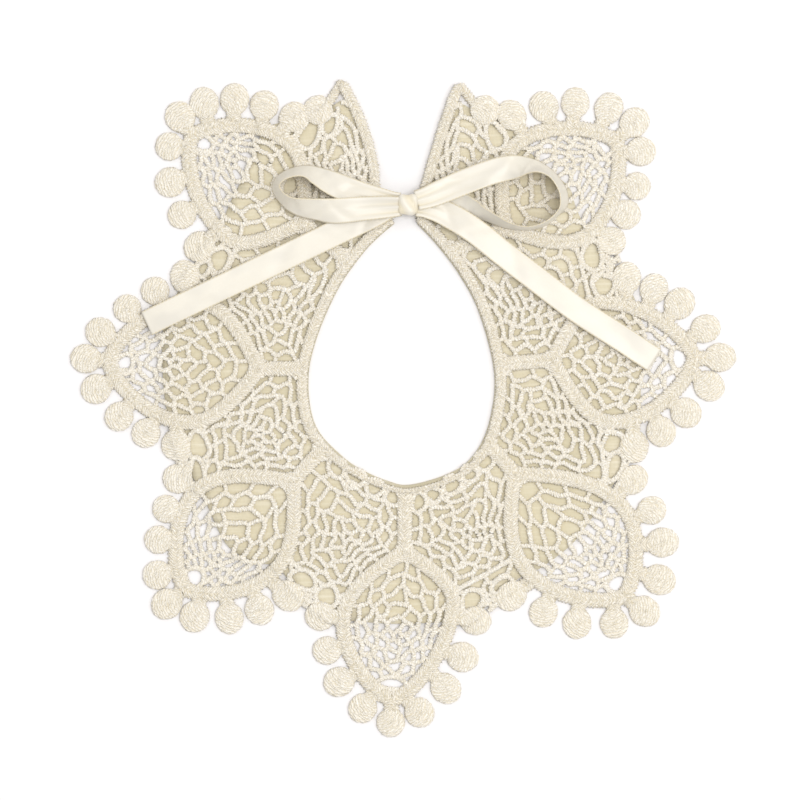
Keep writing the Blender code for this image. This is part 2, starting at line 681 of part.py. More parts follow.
def knot(material):
    """The bow's knot: a rounded block wrapped in slanting folds."""
    points = []
    for ring in range(1, KNOT_RINGS):
        down = math.pi * ring / KNOT_RINGS
        for segment in range(KNOT_SEGMENTS):
            turn = 2 * math.pi * segment / KNOT_SEGMENTS
            unit = (math.cos(down), math.sin(down) * math.cos(turn), math.sin(down) * math.sin(turn))
            rounded = [math.copysign(abs(value) ** KNOT_ROUNDING, value) for value in unit]
            fold = 1 - KNOT_FOLD_DEPTH * (0.5 + 0.5 * math.cos(KNOT_FOLDS * (2 * down + 0.6 * turn)))
            points.append([c + s / 2 * value * fold for c, s, value in zip(KNOT_CENTRE, KNOT_SIZE, rounded)])
    first = len(points)
    points.append([KNOT_CENTRE[0] + KNOT_SIZE[0] / 2 * (1 - KNOT_FOLD_DEPTH), *KNOT_CENTRE[1:]])
    points.append([KNOT_CENTRE[0] - KNOT_SIZE[0] / 2 * (1 - KNOT_FOLD_DEPTH), *KNOT_CENTRE[1:]])
    faces = []
    for segment in range(KNOT_SEGMENTS):
        following = (segment + 1) % KNOT_SEGMENTS
        faces.append((first, segment, following))
        last = (KNOT_RINGS - 2) * KNOT_SEGMENTS
        faces.append((first + 1, last + following, last + segment))
        for ring in range(KNOT_RINGS - 2):
            here = ring * KNOT_SEGMENTS
            below = here + KNOT_SEGMENTS
            faces.append((here + segment, below + segment, below + following, here + following))
    return solid("ribbon_knot", points, faces, material)


def main():
    for old in list(bpy.data.objects):
        bpy.data.objects.remove(old, do_unlink=True)
    cord = paint("lace_cotton", LACE_COLOUR, 0.9, 0.2)
    cotton = paint("lining_cotton", LINING_COLOUR, 0.9, 0.1)
    satin = paint("ribbon_satin", RIBBON_COLOUR, 0.35, 0.0)
    lining(cotton)
    lace(cord)
    ribbon("ribbon_left_tail", LEFT_TAIL, satin)
    ribbon("ribbon_left_loop", LEFT_LOOP, satin)
    knot(satin)
    ribbon("ribbon_right_loop", RIGHT_LOOP, satin)
    ribbon("ribbon_right_tail", RIGHT_TAIL, satin)


main()
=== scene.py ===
import math

import bpy
import numpy as np
from mathutils import Matrix, Vector
from mathutils.geometry import delaunay_2d_cdt


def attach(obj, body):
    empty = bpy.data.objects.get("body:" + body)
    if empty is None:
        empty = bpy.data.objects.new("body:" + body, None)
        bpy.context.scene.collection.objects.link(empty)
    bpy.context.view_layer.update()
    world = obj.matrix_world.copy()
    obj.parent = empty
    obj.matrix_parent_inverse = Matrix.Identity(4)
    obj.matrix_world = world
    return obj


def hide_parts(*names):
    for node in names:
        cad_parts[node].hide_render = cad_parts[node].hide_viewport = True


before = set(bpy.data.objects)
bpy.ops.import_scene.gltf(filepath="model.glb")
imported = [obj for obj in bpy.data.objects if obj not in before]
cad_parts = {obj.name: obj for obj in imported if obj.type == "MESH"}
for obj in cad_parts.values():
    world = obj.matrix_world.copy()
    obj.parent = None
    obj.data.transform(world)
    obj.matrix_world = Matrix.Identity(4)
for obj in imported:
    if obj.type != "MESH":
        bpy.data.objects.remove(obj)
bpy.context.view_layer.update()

bpy.ops.object.select_all(action="DESELECT")
mm = 0.001
planCentre = (0.4554, -0.106)  # middle of the whole bib in the plan, which is in millimetres
print("frame loaded")


# the plan, shared by all the pieces

petalColumns = ("base", "start", "tip", "end", "neck", "rim", "netCentre")
petalRows = (  # top left, left, lower left, bottom, lower right, right, top right
    ((-39.5, 74.0), (-46.0, 106.5), (-84.0, 108.5), (-69.5, 67.5), (-22.0, 57.0),
     ((-43.0, 116.5), (-67.0, 124.0), (-89.0, 116.5), (-93.0, 90.0), (-81.5, 64.0)), (-69, 98)),
    ((-57.0, 15.5), (-81.0, 42.0), (-117.5, 18.5), (-86.0, -6.0), (-37.5, 15.0),
     ((-87.0, 53.0), (-110.0, 39.5), (-127.0, 19.5), (-113.5, -4.0), (-90.5, -15.5)), (-91, 18)),
    ((-43.5, -29.5), (-82.5, -33.5), (-87.0, -72.5), (-51.0, -65.5), (-31.0, -15.0),
     ((-90.0, -28.5), (-97.5, -53.0), (-94.5, -79.0), (-69.0, -85.0), (-45.0, -76.0)), (-74, -60)),
    ((1.0, -57.5), (-23.5, -84.0), (-4.0, -117.0), (20.5, -78.5), (1.0, -30.5),
     ((-33.0, -83.5), (-25.5, -110.0), (-4.5, -126.5), (18.0, -113.0), (30.0, -85.5)), (-2, -92)),
    ((45.0, -26.5), (50.0, -65.5), (89.0, -75.5), (88.0, -39.5), (35.0, -13.0),
     ((43.0, -76.0), (70.0, -87.0), (97.5, -82.0), (105.0, -54.0), (93.0, -28.5)), (76, -58)),
    ((60.0, 19.0), (84.0, -6.0), (117.0, 19.5), (80.0, 42.0), (37.0, 18.0),
     ((93.0, -16.5), (114.0, -2.5), (128.0, 20.0), (111.5, 42.0), (90.0, 52.5)), (89, 19)),
    ((41.0, 71.5), (74.0, 69.0), (85.5, 106.5), (46.0, 105.5), (18.0, 61.0),
     ((84.0, 66.5), (94.0, 88.5), (93.5, 114.5), (69.5, 122.5), (43.5, 117.5)), (68, 96)),
)
petals = [dict(zip(petalColumns, row)) for row in petalRows]
neckEdge = (
    (-3.0, 73.5), (-9.5, 68.0), (-16.5, 60.5), (-26.0, 46.5), (-34.5, 26.5), (-37.5, 10.0),
    (-34.5, -7.5), (-24.0, -19.5), (-15.0, -25.5), (-5.5, -29.5), (3.0, -31.0), (17.5, -27.0),
    (27.5, -20.5), (34.5, -7.5), (37.0, 13.0), (31.0, 37.5), (23.0, 53.0), (14.0, 65.0), (6.0, 73.5),
)
leftEnd = (
    (-3.0, 73.5), (-5.5, 80.0), (-8.5, 87.0), (-9.5, 97.5), (-12.5, 109.5), (-17.8, 122.5),
    (-23.7, 131.9), (-27.8, 124.1),
)
rightEnd = (
    (6.0, 73.5), (5.5, 80.0), (6.6, 85.7), (12.4, 105.7), (16.2, 117.3), (19.2, 125.7),
    (22.8, 130.5), (26.8, 124.5),
)
leftEndPicot = (-33.6, 118.9)
rightEndPicot = (33.2, 118.9)
liningRows = (  # from each valley across the petal after it
    ((-25.0, 122.5), (-33.0, 117.5), (-43.0, 115.0), (-54.8, 112.0), (-57.6, 106.0), (-63.6, 92.1),
     (-68.4, 82.5), (-75.6, 66.5)),
    ((-81.5, 58.0), (-91.5, 43.0), (-95.6, 30.9), (-95.6, 10.9), (-93.0, -6.5)),
    ((-87.0, -22.0), (-79.6, -35.5), (-72.8, -50.7), (-68.0, -57.1), (-58.8, -61.9), (-49.6, -64.5)),
    ((-38.5, -77.0), (-28.8, -84.0), (-14.8, -85.9), (-0.8, -86.7), (15.2, -85.9), (26.2, -84.0)),
    ((36.0, -78.0), (46.4, -68.7), (53.6, -65.5), (66.4, -56.3), (73.2, -48.3), (80.4, -37.5)),
    ((89.5, -22.5), (95.0, -8.0), (95.6, 6.9), (96.4, 24.9), (94.0, 41.5)),
    ((83.8, 58.5), (76.4, 66.9), (70.0, 78.9), (66.8, 88.1), (56.4, 96.9), (48.4, 105.3),
     (41.2, 114.0), (33.2, 116.8), (24.0, 121.5)),
)


windowColumns = ("x", "y", "long", "short", "turn")
windowRows = (  # the large gaps in the valleys, those inside the tips and the row in front of the neck
    (-73.0, 59.0, 3.9, 3.0, 80), (-79.5, 55.5, 2.3, 1.3, 70), (-72.8, 68.0, 3.4, 1.9, 60),
    (-81.5, -15.5, 4.4, 3.3, 100), (-82.0, -26.0, 4.2, 1.9, 95), (-76.0, -25.0, 2.4, 1.7, 80),
    (-39.5, -69.0, 4.6, 2.3, 150), (-30.0, -75.5, 3.4, 3.0, 90),
    (28.0, -77.5, 3.6, 3.0, 70), (40.5, -71.5, 3.4, 2.4, 20),
    (83.5, -14.0, 3.8, 3.6, 60), (85.0, -23.5, 4.6, 2.2, 70),
    (80.5, 48.8, 3.5, 3.3, 0), (76.0, 60.5, 4.6, 3.0, 85),
    (-37.5, 109.5, 5.0, 3.4, 60), (-29.0, 113.0, 3.2, 1.9, 80), (37.5, 108.5, 4.4, 2.8, 115),
    (-79.5, 105.5, 2.8, 2.0, 10), (-111.0, 17.5, 2.8, 2.2, 90), (-83.0, -68.0, 3.0, 2.4, 130),
    (-4.0, -110.5, 4.6, 1.4, 0), (86.0, -70.5, 3.4, 2.2, 20), (111.0, 19.5, 3.4, 2.3, 90),
    (80.5, 104.5, 3.8, 2.6, 100),
    (-26.0, -24.2, 2.6, 2.3, 140), (-18.6, -28.0, 2.8, 2.1, 150), (-11.0, -32.2, 2.6, 2.0, 155),
    (-3.8, -36.0, 1.8, 2.3, 0), (6.8, -38.0, 1.7, 2.9, 0), (12.4, -35.2, 2.0, 2.1, 20),
    (20.0, -31.0, 2.8, 2.2, 30), (27.0, -26.6, 2.0, 2.0, 35), (33.0, -21.4, 2.8, 2.3, 45),
    (-44.8, 88.8, 3.4, 2.3, 80),
)
windows = [dict(zip(windowColumns, row)) for row in windowRows]
windowRoom = 1.2  # from the gap to the middle of the cord round it


def curveThrough(points, steps):
    given = np.array(points, float)
    made = []
    for i in range(len(given) - 1):
        b, c = given[i], given[i + 1]
        a = given[i - 1] if i > 0 else 2 * b - c
        d = given[i + 2] if i + 2 < len(given) else 2 * c - b
        for t in np.arange(steps) / steps:
            bend = (2 * a - 5 * b + 4 * c - d) * t * t + (3 * b - a - 3 * c + d) * t ** 3
            made.append(0.5 * (2 * b + (c - a) * t + bend))
    return np.array(made + [given[-1]])


def bezier(a, b, c, d, steps):
    t = np.linspace(0, 1, steps + 1)[:, None]
    return (1 - t) ** 3 * a + 3 * (1 - t) ** 2 * t * b + 3 * (1 - t) * t * t * c + t ** 3 * d


petalTip = 0.34  # how blunt the tips are


def petalSide(petal, side, steps=12):
    base, tip, widest = (np.array(petal[name]) for name in ("base", "tip", side))
    length = np.linalg.norm(tip - base)
    axis = (tip - base) / length
    along = (widest - base) @ axis
    out = (widest - base) - along * axis
    lower = bezier(base, base + 0.35 * out + 0.22 * along * axis, base + out + 0.55 * along * axis, widest, steps)
    shoulder = widest + 0.5 * (length - along) * axis
    upper = bezier(widest, shoulder, tip - 0.03 * length * axis + petalTip * out, tip, steps)
    return np.vstack([lower, upper[1:]])


def petalLoop(petal):
    return np.vstack([petalSide(petal, "start"), petalSide(petal, "end")[::-1][1:]])


def evenly(line, step):  # the same line in equal steps
    run = np.linalg.norm(np.diff(line, axis=0), axis=1)
    along = np.concatenate([[0.0], np.cumsum(run)])
    count = max(2, int(round(along[-1] / step)) + 1)
    marks = np.linspace(0, along[-1], count)
    return np.stack([np.interp(marks, along, line[:, k]) for k in range(line.shape[1])], axis=1)


def leftHand(line, closed=False):
    travel = (np.roll(line, -1, axis=0) - np.roll(line, 1, axis=0)) if closed else np.gradient(line, axis=0)
    travel /= np.maximum(np.linalg.norm(travel, axis=1), 1e-9)[:, None]
    return np.stack([-travel[:, 1], travel[:, 0]], axis=1)


def shifted(line, distance):  # to the right of its travel
    return line - leftHand(line) * np.reshape(distance, (-1, 1))


def wallsOf(lines):
    starts = np.vstack([np.array(line)[:-1] for line, _ in lines])
    ends = np.vstack([np.array(line)[1:] for line, _ in lines])
    return starts, ends, np.concatenate([np.full(len(line) - 1, float(keep)) for line, keep in lines])


def room(points, walls):  # how far each point is from the nearest wall
    starts, ends, keep = walls
    run = ends - starts
    length = np.maximum((run ** 2).sum(axis=1), 1e-9)
    best = np.full(len(points), 1e9)
    for k in range(0, len(points), 2000):
        offset = points[k:k + 2000, None, :] - starts[None, :, :]
        share = np.clip((offset * run).sum(axis=2) / length, 0.0, 1.0)
        away = np.linalg.norm(offset - share[:, :, None] * run, axis=2) - keep
        best[k:k + 2000] = away.min(axis=1)
    return best


def inside(points, outline):
    after = np.roll(outline, -1, axis=0)
    x, y = points[:, 0][:, None], points[:, 1][:, None]
    spans = (outline[:, 1] > y) != (after[:, 1] > y)
    rise = np.where(after[:, 1] == outline[:, 1], 1e-9, after[:, 1] - outline[:, 1])
    crossing = outline[:, 0] + (y - outline[:, 1]) * (after[:, 0] - outline[:, 0]) / rise
    return (spans & (x < crossing)).sum(axis=1) % 2 == 1


neckLine = curveThrough(neckEdge, 6)
leftLine = curveThrough(leftEnd, 5)
rightLine = curveThrough(rightEnd, 5)
liningEdge = curveThrough([point for row in liningRows for point in row], 5)
linedRegion = np.vstack([liningEdge, [(24.0, 140.0), (-25.0, 140.0)]])
liningWalls = wallsOf([(liningEdge, 0.0)])


seat = {"height": 1.3, "far": 3.6, "slope": 3.0}


def eased(share):
    return share * share * (3 - 2 * share)


def seatHeight(points):  # the lace lies on the lining, and beyond it comes down to the table
    share = eased(np.clip((seat["far"] - room(points, liningWalls)) / seat["slope"], 0.0, 1.0))
    return seat["height"] * np.where(inside(points, linedRegion), 1.0, share)


def wander(points, size, seed):  # a smooth uneven field from -1 to 1, the same each run
    rng = np.random.RandomState(seed)
    total = np.zeros(len(points))
    for _ in range(5):
        turn, phase, scale = rng.uniform(0, 6.28), rng.uniform(0, 6.28), rng.uniform(0.6, 1.7)
        total += np.sin((points[:, 0] * math.cos(turn) + points[:, 1] * math.sin(turn)) * scale * 6.28 / size + phase)
    return total / 3.2


# meshes and materials

def setGroove(mesh, values):
    mesh.attributes.new("groove", "FLOAT", "POINT").data.foreach_set("value", values)


def setUv(mesh, layer, uvs):
    corner = np.zeros(len(mesh.loops), dtype=np.int32)
    mesh.loops.foreach_get("vertex_index", corner)
    layer.data.foreach_set("uv", uvs[corner].ravel())


def makePiece(name, parts, material):
    verts, faces, grooves, uvs, count = [], [], [], [], 0
    for part in parts:
        verts.append(part["verts"])
        faces.extend(tuple(i + count for i in face) for face in part["faces"])
        grooves.append(part.get("groove", np.zeros(len(part["verts"]))))
        uvs.append(part.get("uv", np.zeros((len(part["verts"]), 2))))
        count += len(part["verts"])
    verts = (np.vstack(verts) - np.array((*planCentre, 0.0))) * mm
    mesh = bpy.data.meshes.new(name)
    mesh.from_pydata(verts.tolist(), [], faces)
    setGroove(mesh, np.concatenate(grooves))
    setUv(mesh, mesh.uv_layers.new(name="UVMap"), np.vstack(uvs))
    piece = bpy.data.objects.new(name, mesh)
    bpy.context.scene.collection.objects.link(piece)
    mesh.materials.append(material)
    mesh.polygons.foreach_set("use_smooth", [True] * len(mesh.polygons))
    mesh.update()
    return piece


def thicken(piece, thickness, offset):
    shell = piece.modifiers.new("thickness", "SOLIDIFY")
    shell.thickness = thickness * mm
    shell.offset = offset
    bpy.ops.object.select_all(action="DESELECT")
    bpy.context.view_layer.objects.active = piece
    piece.select_set(True)
    bpy.ops.object.modifier_apply(modifier="thickness")
    piece.select_set(False)


def ringPart(rows, grooves, uv, closed):  # a closed skin over rows of points that run along a piece
    count, wide = len(rows[0]), len(rows)
    faces = []
    for i in range(count if closed else count - 1):
        here, there = i * wide, (i + 1) % count * wide
        faces += [(here + k, there + k, there + (k + 1) % wide, here + (k + 1) % wide) for k in range(wide)]
    faces = [face[::-1] for face in faces]
    if not closed:
        faces += [tuple(range(wide)), tuple(range((count - 1) * wide, count * wide))[::-1]]
    return {"verts": np.stack(rows, axis=1).reshape(-1, 3), "faces": faces,
            "groove": np.clip(np.stack(grooves, axis=1).ravel(), 0, 1), "uv": np.stack(uv, axis=1).reshape(-1, 2)}


def newMaterial(name):
    material = bpy.data.materials.new(name)
    material.use_nodes = True
    nodes = material.node_tree.nodes
    return material, nodes, material.node_tree.links, nodes["Principled BSDF"]


def mixed(nodes, links, factor, colourA, colourB):
    node = nodes.new("ShaderNodeMix")
    node.data_type = "RGBA"
    for socket, value in ((node.inputs[0], factor), (node.inputs[6], colourA), (node.inputs[7], colourB)):
        if isinstance(value, bpy.types.NodeSocket):
            links.new(value, socket)
        elif isinstance(value, tuple):
            socket.default_value = (*value, 1.0)
        else:
            socket.default_value = value
    return node.outputs[2]


def noise(nodes, links, place, scale, detail=2.0, stretch=None):
    if stretch:
        mapping = nodes.new("ShaderNodeMapping")
        mapping.inputs["Scale"].default_value = stretch
        links.new(place, mapping.inputs["Vector"])
        place = mapping.outputs[0]
    node = nodes.new("ShaderNodeTexNoise")
    node.inputs["Scale"].default_value = scale
    node.inputs["Detail"].default_value = detail
    links.new(place, node.inputs["Vector"])
    return node.outputs["Fac"]


def ramp(nodes, links, value, low, high):
    node = nodes.new("ShaderNodeMapRange")
    node.inputs["From Min"].default_value = low
    node.inputs["From Max"].default_value = high
    links.new(value, node.inputs["Value"])
    return node.outputs[0]


def maths(nodes, links, kind, a, b):
    node = nodes.new("ShaderNodeMath")
    node.operation = kind
    for socket, value in zip(node.inputs, (a, b)):
        if isinstance(value, bpy.types.NodeSocket):
            links.new(value, socket)
        else:
            socket.default_value = value
    return node.outputs[0]


def partly(nodes, links, value, low, high, most):  # a ramp that goes no higher than most
    return maths(nodes, links, "MULTIPLY", ramp(nodes, links, value, low, high), most)


def grooveOf(nodes):
    node = nodes.new("ShaderNodeAttribute")
    node.attribute_name = "groove"
    return node.outputs["Fac"]


def bumped(nodes, links, shader, height, strength, distance):
    node = nodes.new("ShaderNodeBump")
    node.inputs["Strength"].default_value = strength
    node.inputs["Distance"].default_value = distance
    links.new(height, node.inputs["Height"])
    links.new(node.outputs[0], shader.inputs["Normal"])


wavesPerScale = 0.314  # a wave texture repeats each 0.314 / scale
# shade is painted shade, laid by grooveShade, threadShade and fleckShade into the grooves, the thread troughs and the
# bump's hollows
stitchLook = {
    "light": (0.985, 0.945, 0.875), "shade": (0.72, 0.63, 0.45), "warm": (0.96, 0.91, 0.82),
    "roughness": 0.88, "sheen": 0.25, "sheenRoughness": 0.5, "threadScale": 1400.0, "loopScale": 760.0,
    "patchScale": 28.0, "stitchPitch": 0.00108, "curl": 6.4, "threadShade": 0.36, "fleckShade": 0.32,
    "grooveShade": 0.50, "threadBump": 0.9, "bump": 0.7, "bumpDistance": 0.0005,
}


def stitchedCotton():
    s = stitchLook
    material, nodes, links, shader = newMaterial("stitchedCotton")
    place = nodes.new("ShaderNodeTexCoord").outputs["Object"]
    groove = grooveOf(nodes)
    fuzz = noise(nodes, links, place, s["threadScale"], 3.0)
    loops = noise(nodes, links, place, s["loopScale"], 2.0)
    patches = noise(nodes, links, place, s["patchScale"], 2.0)
    threads = nodes.new("ShaderNodeTexWave")  # across each cord, slanting on the bands and curved on the picots
    threads.bands_direction = "Y"
    for socket, value in (("Scale", wavesPerScale / s["stitchPitch"]), ("Distortion", s["curl"]),
                          ("Detail", 2.0), ("Detail Scale", 2.2), ("Detail Roughness", 0.65)):
        threads.inputs[socket].default_value = value
    links.new(nodes.new("ShaderNodeTexCoord").outputs["UV"], threads.inputs["Vector"])
    # painted shade: the shade colour laid into the mesh's grooves, the troughs between threads and the fine hollows of
    # the bump
    depth = maths(nodes, links, "MULTIPLY", groove, s["grooveShade"])
    speckShade = partly(nodes, links, fuzz, 0.58, 0.42, s["fleckShade"])
    pits = partly(nodes, links, threads.outputs["Fac"], 0.55, 0.10, s["threadShade"])
    depth = maths(nodes, links, "ADD", depth, pits)
    colour = mixed(nodes, links, ramp(nodes, links, patches, 0.35, 0.65), s["light"], s["warm"])
    colour = mixed(nodes, links, maths(nodes, links, "ADD", depth, speckShade), colour, s["shade"])
    links.new(colour, shader.inputs["Base Color"])
    shader.inputs["Roughness"].default_value = s["roughness"]
    shader.inputs["Sheen Weight"].default_value = s["sheen"]
    shader.inputs["Sheen Roughness"].default_value = s["sheenRoughness"]
    height = maths(nodes, links, "ADD", maths(nodes, links, "MULTIPLY", fuzz, 0.5), loops)
    raised = maths(nodes, links, "MULTIPLY", threads.outputs["Fac"], s["threadBump"])
    bumped(nodes, links, shader, maths(nodes, links, "ADD", height, raised), s["bump"], s["bumpDistance"])
    return material


clothLook = {
    "light": (0.73, 0.66, 0.495), "shade": (0.63, 0.565, 0.39), "slub": (0.80, 0.74, 0.59),
    "pitch": 0.00055, "turn": 0.06, "roughness": 0.9, "sheen": 0.1, "bump": 0.5, "bumpDistance": 0.00015,
}
bindingShade = 0.80  # painted shade: the neck binding, in its full width, is the lining's cloth made darker than the cloth seen through the net


def plainWeave(name, shadeScale=1.0):
    material, nodes, links, shader = newMaterial(name)
    # shadeScale darkens the cloth's colours, a painted shade for the binding
    light, shade, slub = (tuple(shadeScale * value for value in clothLook[key]) for key in ("light", "shade", "slub"))
    place = nodes.new("ShaderNodeTexCoord").outputs["Object"]
    heights = []
    for turn in (clothLook["turn"], clothLook["turn"] + math.pi / 2):
        mapping = nodes.new("ShaderNodeMapping")
        mapping.inputs["Rotation"].default_value = (0, 0, turn)
        links.new(place, mapping.inputs["Vector"])
        wave = nodes.new("ShaderNodeTexWave")
        wave.bands_direction = "X"
        for socket, value in (("Scale", wavesPerScale / clothLook["pitch"]), ("Distortion", 0.6),
                              ("Detail", 1.0), ("Detail Scale", 3.0)):
            wave.inputs[socket].default_value = value
        links.new(mapping.outputs[0], wave.inputs["Vector"])
        heights.append(wave.outputs["Fac"])
    weave = maths(nodes, links, "MAXIMUM", *heights)
    slubs = noise(nodes, links, place, 60.0, 3.0, (1.0, 14.0, 1.0))
    clouds = noise(nodes, links, place, 22.0, 2.0)
    colour = mixed(nodes, links, ramp(nodes, links, weave, 0.9, 0.3), light, shade)
    colour = mixed(nodes, links, ramp(nodes, links, slubs, 0.45, 0.75), colour, slub)
    colour = mixed(nodes, links, ramp(nodes, links, clouds, 0.4, 0.9), colour, shade)
    links.new(colour, shader.inputs["Base Color"])
    shader.inputs["Roughness"].default_value = clothLook["roughness"]
    shader.inputs["Sheen Weight"].default_value = clothLook["sheen"]
    height = maths(nodes, links, "ADD", weave, slubs)
    bumped(nodes, links, shader, height, clothLook["bump"], clothLook["bumpDistance"])
    return material


satinLook = {
    # edge: the selvedge's own colour, also laid as painted shade in the pleats and the knot's folds
    "light": (0.77, 0.725, 0.63), "warm": (0.745, 0.675, 0.55), "sheenShade": (0.70, 0.66, 0.58), "edge": (0.68, 0.56, 0.31),
    "warmShare": 0.22, "sheenShadeShare": 0.85, "selvedgeAndCreaseShare": 0.8, "roughness": 0.36, "specular": 0.45, "sheen": 0.12,
    "bump": 0.25, "bumpDistance": 0.00006,
}


def satinWeave():
    s = satinLook
    material, nodes, links, shader = newMaterial("satinWeave")
    uv = nodes.new("ShaderNodeTexCoord").outputs["UV"]
    floats = noise(nodes, links, uv, 1.0, 2.0, (60.0, 3500.0, 1.0))
    picks = noise(nodes, links, uv, 1.0, 2.0, (14.0, 900.0, 1.0))
    # painted shade: soft bands across the satin standing in for its changing sheen
    sheenBands = noise(nodes, links, uv, 1.0, 2.0, (0.9, 55.0, 1.0))
    colour = mixed(nodes, links, partly(nodes, links, picks, 0.4, 0.7, s["warmShare"]), s["light"], s["warm"])
    colour = mixed(nodes, links, partly(nodes, links, sheenBands, 0.44, 0.62, s["sheenShadeShare"]), colour, s["sheenShade"])
    # the selvedge's own yellowish line, and painted shade in the pleats near the knot and in the knot's folds
    selvedgeAndCreaseShade = maths(nodes, links, "MULTIPLY", grooveOf(nodes), s["selvedgeAndCreaseShare"])
    links.new(mixed(nodes, links, selvedgeAndCreaseShade, colour, s["edge"]), shader.inputs["Base Color"])
    for socket, key in (("Roughness", "roughness"), ("Specular IOR Level", "specular"), ("Sheen Weight", "sheen")):
        shader.inputs[socket].default_value = s[key]
    bumped(nodes, links, shader, floats, s["bump"], s["bumpDistance"])
    return material


stitches, weave = stitchedCotton(), plainWeave("plainWeave")
binding, satin = plainWeave("neckBinding", bindingShade), satinWeave()
print("materials made")


# the lining

liningCloth = {"thickness": 0.8, "low": 0.06, "grid": 5.0, "wave": 0.12, "backInset": 0.9, "piping": 1.0}


def makeLining():
    s = liningCloth
    left = shifted(curveThrough(leftEnd[:6], 5), -s["backInset"])
    right = shifted(curveThrough(rightEnd[:6], 5), s["backInset"])
    outline = np.vstack([left[1:], liningEdge, right[::-1][:-1], neckLine[::-1][1:-1]])
    columns, rows = np.arange(-100, 101, s["grid"]), np.arange(-90, 126, s["grid"])
    spots = np.stack(np.meshgrid(columns, rows), axis=2).reshape(-1, 2)
    spots = spots[inside(spots, outline)]
    spots = spots[room(spots, wallsOf([(outline, 1.0)])) > 0]
    points = [Vector(point) for point in np.vstack([outline, spots])]
    flat, _, triangles, _, _, sources = delaunay_2d_cdt(points, [], [list(range(len(outline)))], 0, 0.01)
    triangles = [t for t, source in zip(triangles, sources) if source]
    flat = np.array(flat)
    height = s["low"] + 0.12 + s["wave"] * wander(flat, 60, 3)
    cloth = {"verts": np.column_stack([flat, height]), "faces": triangles}
    piece = makePiece("liningCloth", [cloth], weave)
    thicken(piece, s["thickness"], 1.0)
    return piece


def cordPart(line, radius, height, pitch=0.75, sides=6, seed=0, flatten=0.8, closed=False, bead=0.19):
    # a twisted cord along a line in the plan, its middle at the given height over the seat
    line = evenly(line, pitch)
    if closed:
        line = line[:-1]
    count = len(line)
    side = leftHand(line, closed)
    rng = np.random.RandomState(seed)
    bumps = 1 + bead * np.where(np.arange(count) % 2 == 0, 1.0, -1.0) + rng.uniform(-0.12, 0.12, count) * (bead > 0)
    if bead > 0:
        line = line + side * rng.uniform(-laceNet["shake"], laceNet["shake"], (count, 1))
    low = seatHeight(line)
    run = np.arange(count) * pitch * mm
    along = (np.minimum(run, count * pitch * mm - run) if closed else run) + 0.017 * seed
    wound = (laceNet["wound"] if seed % 3 else -laceNet["wound"]) if bead > 0 else 0.0
    rows, grooves, uv = [], [], []
    for k in range(sides):
        angle = 2 * math.pi * k / sides + np.arange(count) * 0.55
        uv.append(np.column_stack([np.cos(angle) * radius * mm, along + wound * np.cos(angle) * radius * mm]))
        reach = radius * bumps * (1 + 0.08 * np.sin(3 * angle))
        across, up = np.cos(angle) * reach, np.sin(angle) * reach * flatten
        if bead > 0:  # flat below, where it rests
            up = np.maximum(up, laceNet["low"] - height)
        rows.append(np.column_stack([line + side * across[:, None], low + height + up]))
        # painted shade: darker between the beads and along the underside of each cord
        grooves.append(np.clip((1.05 - bumps) * 1.3, 0, 1) * (bead > 0) + 0.15 * (np.sin(angle) < -0.2))
    return ringPart(rows, grooves, uv, closed)


lining = makeLining()
pipingLine = shifted(neckLine, liningCloth["piping"])
pipingCord = cordPart(pipingLine, liningCloth["piping"], -0.55, 1.2, 10, 1, 0.55, bead=0.0)
piping = makePiece("neckPiping", [pipingCord], binding)
print("lining made")


# the lace: nets of cords, stitched bands and round picots

laceNet = {
    "cordRadius": 1.02, "crossRadius": 0.9, "low": 0.03, "height": 0.62, "crossDrop": 0.12, "pitch": 0.60,
    "flatten": 0.55, "petalRounds": 5, "cellRounds": 5, "valleyRounds": 2, "spacing": 7.2, "pull": 0.52,
    "lean": 0.32, "angles": 120, "reach": 45.0, "waist": 10, "shake": 0.13, "wound": 0.55,
}
cellCentres = ((-24, 92), (-51, 40), (-57, -10), (-22, -52), (26, -50), (58, -8), (51, 41), (23, 92))
laceBand = {
    "width": 6.1, "neckWidth": 4.4, "low": 0.25, "edge": 0.95, "top": 2.0, "step": 0.40, "across": 10, "stitch": 1.3,
    "uneven": 0.2, "ragged": 0.22, "teeth": 0.34, "slant": 0.9, "frontWidth": 2.2, "frontReach": 22.0,
    "neckOfPicot": 6.0,
}
picotLook = {
    "radius": 5.9, "threadCentre": 7.2, "rounds": 8, "sides": 44, "rim": 1.1, "top": 2.3, "ridge": 0.16, "low": 0.15,
}


def neckwards(point):
    nearest = int(np.argmin(np.linalg.norm(neckLine - np.array(point), axis=1)))
    return nearest, neckLine[nearest]


def picotsOf(petal):
    return curveThrough(petal["rim"], 2)


